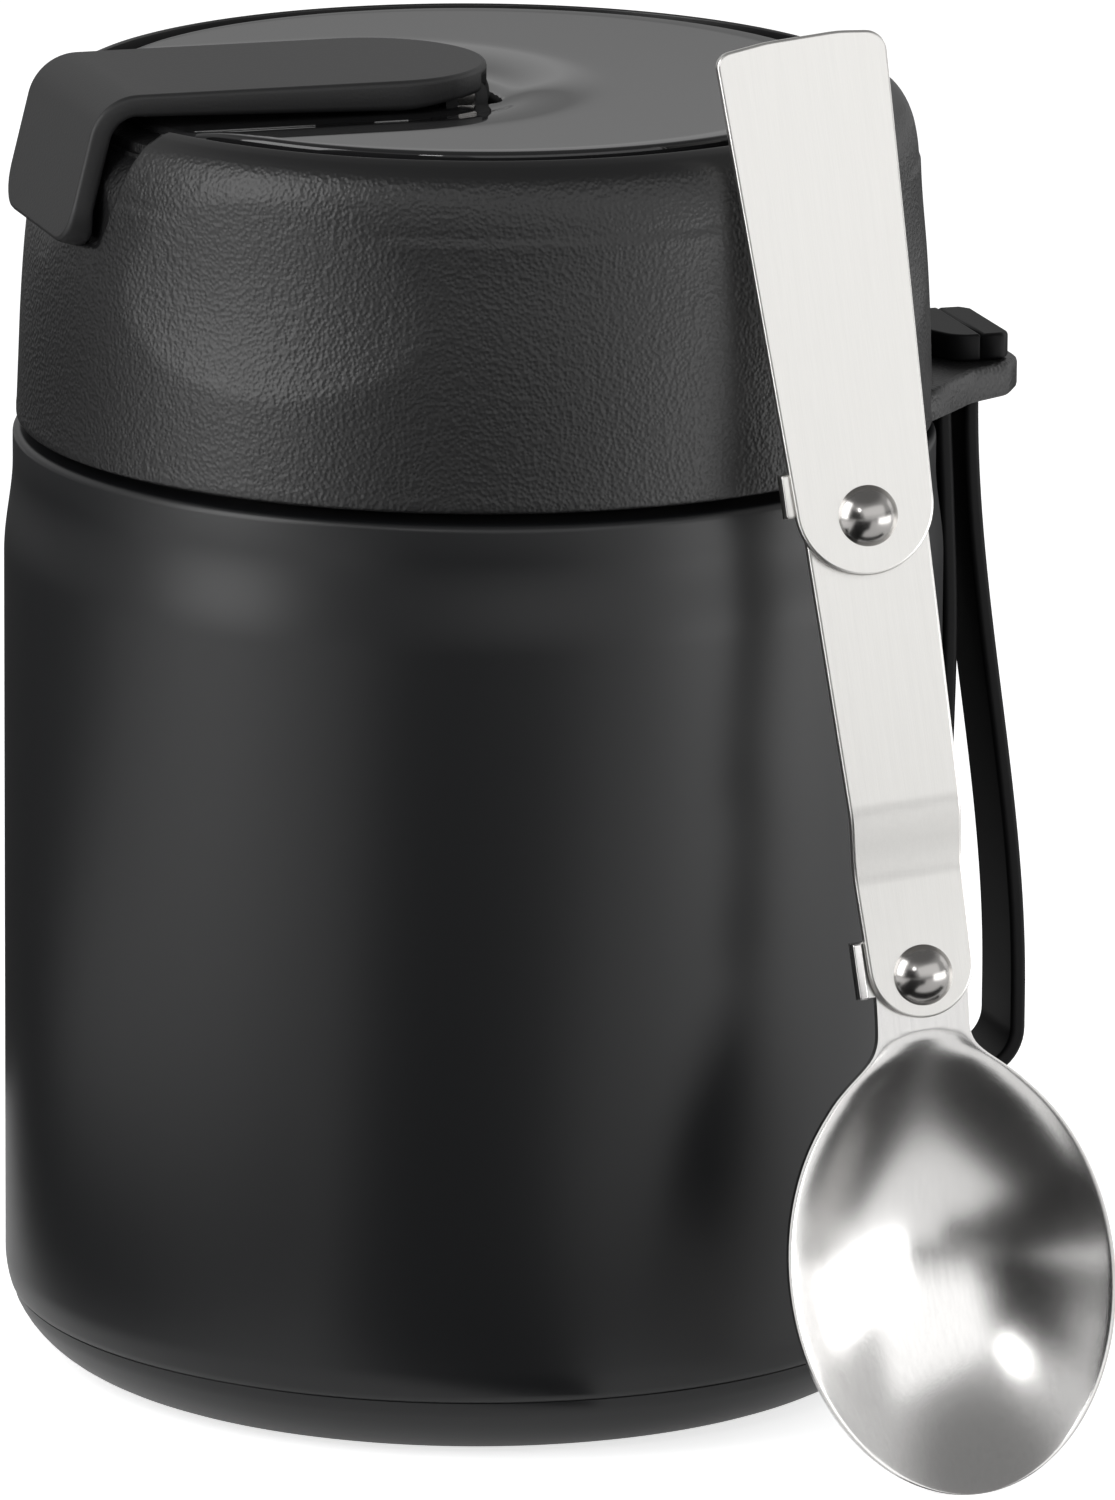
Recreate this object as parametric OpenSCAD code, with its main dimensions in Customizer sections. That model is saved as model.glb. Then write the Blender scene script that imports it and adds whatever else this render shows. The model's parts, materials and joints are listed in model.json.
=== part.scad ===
// Vacuum-insulated food jar with a screw lid, a flip lever over its air vent,
// a carry strap and a folding spoon that leans against the jar.
// Origin: centre of the base, on the surface the jar stands on. +Z is up,
// +X points to the strap bracket and -X to the lever's tab.

/* [Body] */
// Outer diameter of the jar's body
body_d = 96; // [94:0.5:98]
// Height of the shoulder edge, just under the lid
body_h = 97.2; // [95:0.1:99]
// Diameter of the necked-in band under the lid
band_d = 94.2; // [93.6:0.1:95]
// Radius of the rounding between wall and base
base_round = 10.5; // [8:0.5:12]
// Thickness of the outer steel walls
wall = 0.5; // [0.4:0.1:0.8]
// Inner diameter of the mouth
mouth_d = 76.4; // [75.4:0.2:76.6]

/* [Lid] */
// Height of the lid's rim over the base
lid_top = 132.9; // [132.4:0.1:134]
// Outer diameter of the lid at its lower edge
lid_d = 93.5; // [93:0.1:94]
// Diameter of the gloss top plate
plate_d = 76.2; // [75:0.2:77]
// Depth of the four grip scoops
scoop_depth = 1.3; // [0.6:0.1:1.6]
// Axial rise of the thread in one full turn
thread_lead = 12; // [9:1:15]

/* [Lever] */
// Width of the flip lever
lever_w = 24; // [20:1:25]
// Height of the lever's top face over the base
lever_top = 135.5; // [135:0.1:136]
// Distance of the lever's pivot from the jar's axis
pivot_x = 3; // [2.6:0.1:3.4]

/* [Strap] */
// Width of the carry strap
strap_w = 10; // [8:0.5:10]
// Thickness of the carry strap
strap_t = 1.6; // [1.2:0.1:1.7]
// Height of the lowest point of the hanging loop
strap_low = 25; // [20:1:40]

/* [Spoon] */
// Distance between the spoon's two rivets
link_l = 46.3; // [42:0.1:48]
// Length of the handle from its rivet to its end
handle_l = 48; // [40:0.5:50]
// Width of the handle at its end
handle_w = 17.4; // [15:0.1:18]
// Thickness of the spoon's plates
plate_t = 1.2; // [1:0.1:1.3]
// Width of the bowl
bowl_w = 33.6; // [30:0.2:36]
// Length of the bowl's outline
bowl_l = 44.8; // [40:0.2:46]
// Depth of the bowl
bowl_depth = 7.6; // [5:0.2:9]

/* [Hidden] */

$fn = 96;
eps = 0.01;

// body
body_r = body_d / 2;
band_r = band_d / 2;
band_z = body_h - 3.7;
bulge_z = body_h - 13.2;
edge_r = 0.8;
cap_angle = 20;
base_flat_r = body_r - base_round;
cap_top_r = base_flat_r + base_round * cos(cap_angle);
cap_top_z = base_round * (1 - sin(cap_angle));
pad_r = 29;
pad_t = 1;
mouth_r = mouth_d / 2;
vessel_wall = 0.4;
vessel_r = body_r - 3.6;
vessel_low = 7;
vessel_round = 14;
rim_z = body_h + 22.2;
weld_z = body_h - 1;
ring_out = mouth_r + 0.95;
lip_r = 0.8;
collar_r = 41.2;
collar_low = body_h + 0.1;
collar_top = rim_z - 1.9;

// lid
lid_low = body_h + 1;
lid_r = lid_d / 2;
skirt_in = 43.2;
casing_in = 44.8;
stopper_r = 36.2;
cup_wall = 1.6;
stopper_low = body_h + 6.8;
cap_r = 41.6;
seat_r = 40.4;
seat_z = rim_z - 1.1;
ledge_t = 0.5;
flange_z = rim_z + 2;
flange_t = 2;
step_z = flange_z + flange_t;
step_r = 39.4;
deck_top = lid_top - 3.1;
deck_t = 2;
plate_r = plate_d / 2;
plate_top = lid_top + 0.1;
groove_r = lid_r - 5.65;
groove_z = lid_top - 1.7;
channel_z = plate_top - 1.7;
channel_w = 15.6;
recess_low = step_z - 3.7;

// thread
starts = 3;
rib_span = 54;
rib_steps = 9;
rib_h = 1.8;
rib_z = body_h + 9;
rib_crest = 0.9;

// lever and vent
pivot_z = lever_top - 3.2;
nose_r = lever_top - pivot_z;
arm_t = 2.2;
tip_r = lever_w / 2;
vent_x = 14;
vent_r = 1.6;
sleeve_r = 3.9;
pin_r = 1;
knuckle_w = 4.2;
post_w = 6.4;
post_r = 2.2;
bend_r = 5.2;
bend_x = lid_r - 7.85;
tab_in = lid_r - 3.55;
tab_end = lid_r - 2;
tab_r = 1.5;
tab_corner = 4;

// strap bracket
shelf_low = lid_low + 0.2;
shelf_t = 3.6;
shelf_top = shelf_low + shelf_t;
shelf_end = 57;
bracket_half = [[57, 5.4], [56.4, 6.9], [55, 7.9], [51, 10.2], [47.6, 13.2], [44.4, 17.4], [42, 22]];
head_t = 2.8;
head_gap = 0.05;
outer_x = 52.5;
inner_x = 49.1;
split_x = 52.2;
head_l = 3.3;
head_w = 14;
inner_end = 47.3;
loop_top = 95.7;
loop_out = 58.9;

// spoon: lower-rivet place, turn about +Z, lean back and lean sideways
spoon_at = [29.3, -57.75, 51.5];
spoon_turn = -3.5;
spoon_back = 11.8;
spoon_side = 5.8;
joggle = 2.4;
stack_gap = 0.05;
rivet_r = 1.5;
rivet_hole_r = rivet_r + 0.04;
dome_r = 2.9;
dome_h = 1.75;
tail_t = 0.8;
bowl_twist = 1;
bowl_x = -0.9;
bowl_drop = 30;
ear_t = 0.9;
handle_low_r = 7.05;
handle_ear_x = -8.35;
handle_ear_h = 4.4;
bowl_ear_x = -6.75;
bowl_ear_h = 5.7;
neck_half = [[4.7, 0], [4.7, -5.6], [6.6, -8.9], [8.9, -10.9]];

// ---------- helpers ----------

// points of an arc about [cx, cy], from angle a0 to a1
function arc(cx, cy, r, a0, a1, n = 12) =
    [for (i = [0:n]) let (a = a0 + (a1 - a0) * i / n) [cx + r * cos(a), cy + r * sin(a)]];

// 0 to 1 with level ends
function ease(t) = t * t * (3 - 2 * t);

// solid through closed sections that have the same number of points
module loft(sections) {
    n = len(sections[0]);
    m = len(sections);
    sides = [for (j = [0:m - 2], i = [0:n - 1], half = [0, 1])
        let (a = j * n + i, b = j * n + (i + 1) % n)
        half == 0 ? [a, b, b + n] : [a, b + n, a + n]];
    low = [for (i = [n - 1:-1:0]) i];
    high = [for (i = [0:n - 1]) (m - 1) * n + i];
    polyhedron(points = [for (s = sections, p = s) p], faces = concat([low], sides, [high]));
}

// one helical thread rib that stands from radius r0 to r1
module rib(r0, r1, z0) {
    flank = rib_h * 0.28;
    sections = [for (i = [0:rib_steps])
        let (a = rib_span * i / rib_steps,
             z = z0 + thread_lead * a / 360,
             fade = i == 0 || i == rib_steps ? 0.35 : 1,
             top = r0 + (r1 - r0) * fade)
        [for (p = [[r0, -rib_h / 2], [top, -rib_h / 2 + flank], [top, rib_h / 2 - flank], [r0, rib_h / 2]])
            [p[0] * cos(a), p[0] * sin(a), z + p[1]]]];
    if (r1 < r0) loft([for (s = sections) [for (i = [3:-1:0]) s[i]]]);
    else loft(sections);
}

module ribs(r0, r1, z0)
    for (k = [0:starts - 1]) rotate([0, 0, 360 * k / starts]) rib(r0, r1, z0);

// a plate standing in the XZ plane, from y0 to y1
module upright(y0, y1)
    translate([0, y1, 0]) rotate([90, 0, 0]) linear_extrude(y1 - y0) children();

module place_spoon()
    translate(spoon_at) rotate([0, 0, spoon_turn]) rotate([-spoon_back, 0, 0])
        rotate([0, -spoon_side, 0]) children();

// ---------- jar ----------

// outline of the body from the base cap's seam up to the shoulder's inner edge
function body_outline(inset = 0) = concat(
    arc(base_flat_r, base_round, base_round - inset, -cap_angle - 20, 0, 6),
    [for (i = [0:10]) [body_r - (body_r - band_r) * ease(i / 10) - inset,
                       bulge_z + (band_z - bulge_z) * i / 10]],
    arc(band_r - edge_r, body_h - edge_r, edge_r - inset, 0, 90, 5));

module outer_shell() {
    color([0.045, 0.047, 0.05])
    rotate_extrude() difference() {
        polygon(concat([[0, 0]], body_outline(), [[0, body_h]]));
        polygon(concat([[0, -1]], body_outline(wall - eps), [[0, body_h - wall]]));
        translate([0, -1]) square([body_r + 1, cap_top_z + 1]);
        square([ring_out, body_h + 1]);
    }
}

module base_cap() {
    color([0.045, 0.047, 0.05])
    rotate_extrude() difference() {
        intersection() {
            union() {
                square([base_flat_r, 2 * base_round]);
                translate([base_flat_r, base_round]) circle(base_round);
            }
            square([body_r, cap_top_z]);
        }
        union() {
            translate([0, pad_t + wall]) square([base_flat_r, base_round]);
            translate([pad_r + 0.9, wall]) square([base_flat_r - pad_r - 0.9, base_round]);
            translate([base_flat_r, base_round]) circle(base_round - wall);
        }
        square([pad_r + 0.1, pad_t]);
    }
}

module bottom_disc() {
    color([0.06, 0.06, 0.06]) rotate_extrude() difference() {
        square([pad_r, pad_t]);
        translate([pad_r - 0.4, 0]) rotate(-45) square([1, 2]);
    }
}

function vessel_outline(t) = concat(
    [[0, vessel_low + t]],
    arc(vessel_r - vessel_round, vessel_low + vessel_round, vessel_round - t, -90, 0, 10),
    [[vessel_r - t, body_h - 15]],
    [for (i = [0:8]) [vessel_r - t - (vessel_r - mouth_r - vessel_wall) * ease(i / 8),
                      body_h - 15 + 10 * i / 8]],
    [[mouth_r + vessel_wall - t, weld_z + t], [0, weld_z + t]]);

module inner_vessel() {
    color([0.72, 0.72, 0.71])
    rotate_extrude() difference() {
        polygon(vessel_outline(0));
        polygon(vessel_outline(vessel_wall));
    }
}

// the neck's wall, welded to both shells, with a round lip
module mouth_ring() {
    color([0.72, 0.72, 0.71]) rotate_extrude() {
        translate([mouth_r, weld_z]) square([ring_out - mouth_r, rim_z - lip_r - weld_z]);
        translate([mouth_r + lip_r, rim_z - lip_r]) circle(lip_r);
    }
}

module vacuum_getter() {
    color([0.5, 0.5, 0.5]) translate([0, 0, vessel_low - 1.2]) cylinder(h = 1.2, r = 7);
}

module neck_collar() {
    color([0.05, 0.05, 0.05]) {
        rotate_extrude() difference() {
            translate([ring_out, collar_low]) square([collar_r - ring_out, collar_top - collar_low]);
            translate([collar_r, collar_top]) rotate(45) square(0.9, center = true);
        }
        rotate_extrude() translate([collar_r - 0.3, collar_low]) square([1.6, 1.2]);
        ribs(collar_r - 0.3, collar_r + rib_crest - 0.1, rib_z);
    }
}

// ---------- lid ----------

lid_side = [[lid_r - 0.3, lid_low], [lid_r, lid_low + 0.3], [lid_r - 0.45, lid_low + 11.8],
            [lid_r - 0.8, lid_low + 17.3], [lid_r - 1.4, lid_low + 24], [lid_r - 1.65, lid_top - 3.4]];

module lid_outline() {
    polygon(concat(lid_side, arc(lid_r - 4.85, lid_top - 3.2, 3.2, 4, 90, 10), [[0, lid_top], [0, lid_low]]));
}

// room inside the casing for the neck, the inner cap and the gloss plate, with a
// shadow groove round the plate
module lid_hollow() {
    polygon([[0, lid_low - 1], [casing_in, lid_low - 1], [casing_in, seat_z], [cap_r, seat_z],
             [cap_r, deck_top], [plate_r + 0.15, deck_top], [plate_r + 0.15, groove_z],
             [groove_r, groove_z], [groove_r, lid_top + 1], [0, lid_top + 1]]);
}

// four shallow dished scoops round the side for the fingers
module scoops() {
    flat_r = 60;
    dish_r = 80;
    mid_r = lid_r - 0.85;
    for (a = [45, 135, 225, 315]) rotate([0, 0, a])
        translate([mid_r - scoop_depth - flat_r, 0, lid_low + 22.5])
            rotate_extrude($fn = 128) intersection() {
                translate([flat_r + dish_r, 0]) circle(dish_r, $fn = 256);
                translate([flat_r, -18]) square([20, 36]);
            }
}

// side view of the recess that the lever's tab sits in
module recess_side() {
    polygon([[-60, recess_low], [-43.6, recess_low], [-42.5, recess_low + 1.4], [-42.5, recess_low + 6],
             [-40.6, channel_z], [-20, channel_z], [-20, lever_top + 2], [-60, lever_top + 2]]);
}

module channel_plan(w) {
    translate([-tip_r + 0.5, 0]) circle(w);
    translate([-60, -w]) square([60 - tip_r + 0.5, 2 * w]);
}

module bracket_plan() {
    n = len(bracket_half);
    intersection() {
        polygon(concat(bracket_half, [for (i = [n - 1:-1:0]) [bracket_half[i][0], -bracket_half[i][1]]]));
        translate([20, -30]) square([shelf_end - 20, 60]);
    }
}

module lid_shell() {
    color([0.05, 0.05, 0.052]) {
        difference() {
            union() {
                difference() {
                    rotate_extrude() lid_outline();
                    scoops();
                }
                translate([0, 0, shelf_low]) linear_extrude(shelf_t) bracket_plan();
            }
            rotate_extrude() lid_hollow();
            // lever channel through the rim and down the side
            intersection() {
                upright(-channel_w, channel_w) recess_side();
                translate([-50, 0, 0]) cube([60, 2 * channel_w, 2 * lid_top + 20], center = true);
            }
            // slots for the strap's two ends
            for (x = [outer_x, inner_x]) translate([x, 0, shelf_low + shelf_t / 2])
                cube([strap_t + 0.2, strap_w + 0.2, 2 * shelf_t], center = true);
        }
    }
}

// threaded cap pressed into the casing, with the deck under the gloss plate
module inner_cap() {
    low = lid_low + 0.6;
    ledge = seat_z - ledge_t;
    under = deck_top - deck_t;
    color([0.05, 0.05, 0.05]) {
        difference() {
            rotate_extrude() polygon([
                [skirt_in, low], [casing_in - eps, low], [casing_in - eps, seat_z - eps],
                [cap_r - eps, seat_z - eps], [cap_r - eps, deck_top - eps], [0, deck_top - eps],
                [0, under], [step_r, under], [step_r, step_z], [seat_r, step_z],
                [seat_r, ledge], [skirt_in, ledge]]);
            // vent hole and room for the lever's nose
            translate([-vent_x, 0, 0]) cylinder(h = lid_top, r = sleeve_r);
            translate([-pivot_x, 0, pivot_z]) rotate([90, 0, 0])
                cylinder(h = 2 * knuckle_w + 0.6, r = nose_r + 0.3, center = true);
        }
        lever_posts();
        ribs(skirt_in + 0.3, skirt_in - rib_crest, rib_z - rib_h - 0.35);
    }
}

// two posts under the lever's nose that hold its pin
module lever_posts() {
    for (s = [-1, 1]) difference() {
        translate([0, s * (knuckle_w + post_w) / 2 + s * 0.1, 0]) union() {
            upright(-(post_w - knuckle_w) / 2, (post_w - knuckle_w) / 2) {
                translate([-pivot_x, pivot_z]) circle(post_r);
                translate([-pivot_x - post_r, deck_top - 0.2]) square([2 * post_r, pivot_z - deck_top + 0.2]);
            }
        }
        translate([-pivot_x, 0, pivot_z]) rotate([90, 0, 0]) cylinder(h = 30, r = pin_r, center = true);
    }
}

module lid_plate() {
    color([0.16, 0.16, 0.165]) difference() {
        rotate_extrude() polygon(concat([[0, deck_top]], [[plate_r, deck_top]],
            arc(plate_r - 0.6, plate_top - 0.6, 0.6, 0, 90, 5), [[0, plate_top]]));
        translate([0, 0, channel_z]) linear_extrude(10) channel_plan(channel_w);
        translate([-vent_x, 0, 0]) cylinder(h = 2 * lid_top, r = sleeve_r);
        translate([-pivot_x - 3.7, -post_w - 1.2, deck_top - 1]) cube([7.6, 2 * post_w + 2.4, 10]);
    }
}

module stopper_cup() {
    low = stopper_low;
    foot = 2;
    color([0.08, 0.08, 0.08]) difference() {
        union() {
            rotate_extrude() difference() {
                union() {
                    translate([0, low + foot]) square([stopper_r, flange_z - low - foot]);
                    translate([0, low]) square([stopper_r - foot, foot + 1]);
                    translate([stopper_r - foot, low + foot]) circle(foot);
                }
                translate([0, low + 1.8]) square([stopper_r - cup_wall, 60]);
            }
            translate([-vent_x, 0, low + 1]) cylinder(h = deck_top - deck_t - low - 0.8, r = 3.4);
        }
        translate([-vent_x, 0, 0]) cylinder(h = 2 * lid_top, r = vent_r);
    }
}

// flange plate that closes the cup and holds the gasket
module stopper_cover() {
    color([0.1, 0.1, 0.1]) difference() {
        translate([0, 0, flange_z]) cylinder(h = flange_t, r = seat_r - 0.1);
        translate([-vent_x, 0, 0]) cylinder(h = 2 * lid_top, r = 3.5);
    }
}

module stopper_foam() {
    low = stopper_low + 1.9;
    color([0.9, 0.9, 0.86]) difference() {
        translate([0, 0, low]) cylinder(h = flange_z - 0.1 - low, r = stopper_r - cup_wall - 0.2);
        translate([-vent_x, 0, 0]) cylinder(h = 2 * lid_top, r = 3.6);
    }
}

module lid_gasket() {
    inner = stopper_r + 0.1;
    color([0.2, 0.2, 0.2]) rotate_extrude() {
        translate([inner, rim_z + 0.1]) square([seat_r - 0.2 - inner, flange_z - rim_z - 0.15]);
        translate([inner, rim_z - 1.2]) square([mouth_r - 0.2 - inner, 2]);
    }
}

module vent_sleeve() {
    top = channel_z + 0.2;
    color([0.25, 0.25, 0.25]) translate([-vent_x, 0, 0]) rotate_extrude() polygon([
        [vent_r, deck_top - deck_t + 0.3], [sleeve_r - 0.05, deck_top - deck_t + 0.3],
        [sleeve_r - 0.05, top], [vent_r + 0.6, top], [vent_r, top - 0.6]]);
}

// ---------- lever ----------

// side view of the lever: nose round its pin, flat arm, and tab bent down over the rim
module lever_side() {
    polygon(concat(
        arc(-pivot_x, pivot_z, nose_r, 90, -180, 24),
        [[-pivot_x - nose_r, lever_top - arm_t], [0.3 - bend_x, lever_top - arm_t]],
        arc(0.3 - bend_x, lever_top - arm_t - 3, 3, 100, 160, 6),
        [[-tab_in, recess_low + 6.3]],
        arc(-tab_end, recess_low + tab_r + 0.6, tab_r, 0, -172, 10),
        arc(-bend_x, lever_top - bend_r, bend_r, 166, 90, 8)));
}

module lever_plan() {
    translate([-tip_r + 0.5, 0]) circle(tip_r);
    translate([-60, -tip_r]) square([60 - tip_r + 0.5, lever_w]);
}

// front view of the tab, with its lower corners rounded
module lever_front() {
    low = recess_low + 0.5;
    translate([-tip_r, low + tab_corner]) square([lever_w, 40]);
    translate([-tip_r + tab_corner, low]) square([lever_w - 2 * tab_corner, 40]);
    for (s = [-1, 1]) translate([s * (tip_r - tab_corner), low + tab_corner]) circle(tab_corner);
}

module vent_lever() {
    color([0.055, 0.055, 0.058]) difference() {
        intersection() {
            upright(-tip_r, tip_r) lever_side();
            linear_extrude(200) lever_plan();
            rotate([90, 0, 90]) translate([0, 0, -80]) linear_extrude(160) lever_front();
        }
        // the nose is full height only between the posts
        for (s = [-1, 1]) translate([-pivot_x - nose_r - 0.4, s > 0 ? knuckle_w : -30, lever_top - 12])
            cube([20, 30 - knuckle_w, 12 - 0.95]);
        translate([-pivot_x, 0, pivot_z]) rotate([90, 0, 0])
            cylinder(h = 3 * knuckle_w, r = pin_r + 0.04, center = true);
    }
}

module lever_pin() {
    color([0.75, 0.75, 0.75]) translate([-pivot_x, 0, pivot_z]) rotate([90, 0, 0])
        cylinder(h = 2 * post_w - 0.2, r = pin_r, center = true);
}

module vent_plug() {
    seat = channel_z + 0.2;
    color([0.25, 0.25, 0.25]) translate([-vent_x, 0, 0]) {
        translate([0, 0, seat + 0.3]) cylinder(h = lever_top - arm_t - seat - 0.3, r = 3);
        translate([0, 0, seat - 0.5]) cylinder(h = 0.85, r1 = 0.9, r2 = 1.7);
    }
}

// ---------- strap ----------

module strap_neck(x)
    translate([x - strap_t / 2, -strap_w / 2, shelf_low - 0.2])
        cube([strap_t, strap_w, shelf_t + 0.2 + head_gap]);

module strap_head_outer() {
    color([0.03, 0.03, 0.032]) {
        translate([0, 0, shelf_top + head_gap]) linear_extrude(head_t) difference() {
            translate([split_x, -head_w / 2]) square([head_l, head_w]);
            for (s = [-1, 1]) translate([split_x + head_l, s * head_w / 2])
                rotate(45) square(1.4, center = true);
        }
        strap_neck(outer_x);
        // root of the head, which ties it to its neck
        translate([split_x, -strap_w / 2, shelf_low])
            cube([outer_x + strap_t / 2 - split_x, strap_w, shelf_t + 1]);
    }
}

module strap_head_inner() {
    color([0.03, 0.03, 0.032]) {
        translate([0, 0, shelf_top + head_gap]) linear_extrude(head_t) intersection() {
            translate([inner_end, -head_w / 2]) square([split_x - head_gap - inner_end, head_w]);
            translate([split_x - 0.9, 0]) circle(head_w / 2 + 0.1);
        }
        strap_neck(inner_x);
        translate([inner_x - strap_t / 2, -strap_w / 2, shelf_low])
            cube([strap_t, strap_w, shelf_t + 1]);
    }
}

// radial place of the loop's outer face at height z
function strand_out(z) = let (t = (98 - z) / (98 - strap_low - 9)) outer_x + strap_t / 2
    + (loop_out - outer_x - strap_t / 2) * ease(min(1, t));

module loop_outline() {
    inner_face = inner_x - strap_t / 2;
    r = (loop_out - inner_face) / 2;
    steps = 10;
    bend_z = strap_low + r;
    outer = [for (i = [0:steps]) let (z = loop_top - (loop_top - bend_z) * i / steps) [strand_out(z), z]];
    inner = [[inner_face, bend_z], [inner_face + 0.1, 58], [inner_face + 0.5, 74], [inner_face, loop_top]];
    difference() {
        polygon(concat(outer, arc(loop_out - r, bend_z, r, 0, -180, 16), inner));
        polygon(concat([for (p = outer) [p[0] - strap_t, p[1] + 1]],
                       arc(loop_out - r, bend_z, r - strap_t, 0, -180, 14),
                       [for (p = inner) [p[0] + strap_t, p[1] + 1]]));
    }
}

module strap_loop() {
    color([0.03, 0.03, 0.032]) upright(-strap_w / 2, strap_w / 2) loop_outline();
}

// ---------- spoon ----------
// Drawn upright with the lower rivet at the origin, face towards -Y.

link_front = 0;
neck_front = plate_t + stack_gap;
link_up_front = -joggle;
handle_front = -joggle - plate_t - stack_gap;

module handle_plan() {
    low_r = handle_low_r;
    corner = 2.2;
    top = link_l + handle_l;
    difference() {
        union() {
            translate([0, link_l + 1.2]) circle(low_r);
            polygon([[-low_r, link_l + 1.2], [low_r, link_l + 1.2], [handle_w / 2, top - corner],
                     [handle_w / 2 - corner, top], [corner - handle_w / 2, top],
                     [-handle_w / 2, top - corner]]);
            for (s = [-1, 1]) translate([s * (handle_w / 2 - corner), top - corner]) circle(corner);
        }
        translate([0, link_l]) circle(rivet_hole_r);
    }
}

module spoon_handle() {
    color([0.78, 0.77, 0.75]) place_spoon() upright(handle_front, handle_front + plate_t) handle_plan();
}

module link_plan() {
    translate([0, 1.1]) circle(5.4);
    translate([0, link_l]) circle(6.35);
    polygon([[-5.4, 1.1], [5.4, 1.1], [6.35, link_l], [-6.35, link_l]]);
}

module link_side() {
    low = 11;
    high = 16.5;
    polygon([[link_front, -10], [link_front + plate_t, -10], [link_front + plate_t, low],
             [link_up_front + plate_t, high], [link_up_front + plate_t, 60],
             [link_up_front, 60], [link_up_front, high], [link_front, low]]);
}

module spoon_link() {
    color([0.78, 0.77, 0.75]) place_spoon() {
        difference() {
            intersection() {
                upright(-10, 10) link_plan();
                rotate([90, 0, 90]) translate([0, 0, -10]) linear_extrude(20) link_side();
            }
            for (z = [0, link_l]) translate([0, 0, z]) rotate([90, 0, 0])
                cylinder(h = 20, r = rivet_hole_r, center = true);
        }
        // stop ear bent forward beside the handle
        translate([handle_ear_x, link_up_front - 1.6, link_l + 0.8])
            cube([ear_t, plate_t + 1.6, handle_ear_h]);
        translate([handle_ear_x, link_up_front, link_l + 0.8]) cube([3, plate_t, handle_ear_h]);
    }
}

// ring of the bowl at share q of its outline, d behind the rim plane
function bowl_ring(q, d) = [for (i = [0:35]) let (a = i * 10)
    [bowl_x + q * bowl_w / 2 * cos(a), neck_front + d, q * bowl_l / 2 * sin(a) - bowl_drop]];

function dish(q) = bowl_depth * pow(max(0, 1 - q * q), 0.85);

module bowl_dish() {
    steps = [0.06, 0.25, 0.45, 0.62, 0.76, 0.87, 0.95, 1];
    count = len(steps);
    loft(concat([for (q = steps) bowl_ring(q, dish(q))],
                [for (k = [count - 1:-1:0]) let (q = steps[k]) bowl_ring(q * 1.008, dish(q) + 0.9)]));
}

module neck_plan() {
    circle(5.2);
    polygon(concat(neck_half, [for (i = [len(neck_half) - 1:-1:0]) [-neck_half[i][0], neck_half[i][1]]]));
}

module spoon_bowl() {
    color([0.7, 0.7, 0.69]) place_spoon() {
        rotate([0, bowl_twist, 0]) {
            bowl_dish();
            difference() {
                upright(neck_front, neck_front + plate_t) neck_plan();
                bowl_cutter();
                rotate([90, 0, 0]) cylinder(h = 20, r = rivet_hole_r, center = true);
            }
        }
        // stop ear bent forward beside the link
        translate([bowl_ear_x, link_front - 0.5, -1.6])
            cube([ear_t, plate_t * 2 + stack_gap + 0.5, bowl_ear_h]);
        translate([bowl_ear_x, neck_front, -1.6]) cube([3, plate_t, bowl_ear_h]);
    }
}

// clears the neck plate out of the bowl's hollow
module bowl_cutter()
    loft([for (q = [0.06, 0.45, 0.76, 0.95]) bowl_ring(q, dish(q) + 0.3 - 0.3 * q)]);

// rivet along Y: dome in front of plane y0, flat tail behind plane y1
module rivet(y0, y1) {
    ball = (dome_r * dome_r + dome_h * dome_h) / (2 * dome_h);
    rotate([90, 0, 0]) {
        translate([0, 0, -y1 - tail_t]) cylinder(h = y1 - y0 + tail_t + 0.5, r = rivet_r);
        translate([0, 0, -y1 - tail_t]) cylinder(h = tail_t - stack_gap, r = 2.5);
        intersection() {
            translate([0, 0, -y0 + dome_h - ball]) sphere(ball);
            translate([0, 0, -y0 + stack_gap]) cylinder(h = dome_h, r = dome_r + 1);
        }
    }
}

module handle_rivet() {
    color([0.4, 0.4, 0.4]) place_spoon() translate([0, 0, link_l])
        rivet(handle_front, link_up_front + plate_t);
}

module bowl_rivet() {
    color([0.4, 0.4, 0.4]) place_spoon() rivet(link_front, neck_front + plate_t);
}

outer_shell();
base_cap();
bottom_disc();
inner_vessel();
vacuum_getter();
mouth_ring();
neck_collar();
lid_shell();
inner_cap();
lid_plate();
stopper_cup();
stopper_cover();
stopper_foam();
lid_gasket();
vent_sleeve();
vent_lever();
lever_pin();
vent_plug();
strap_head_outer();
strap_head_inner();
strap_loop();
spoon_handle();
spoon_link();
spoon_bowl();
handle_rivet();
bowl_rivet();
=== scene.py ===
"""Insulated food jar with a screw lid, a flip lever over its air vent, a carry strap on a
bracket, and a two-joint folding spoon that stands beside the jar and leans on its lid.

The jar's axis is Z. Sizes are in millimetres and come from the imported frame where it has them;
finished meshes are in metres."""
import json
import math

import bmesh
import bpy
from mathutils import Matrix, Vector


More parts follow.
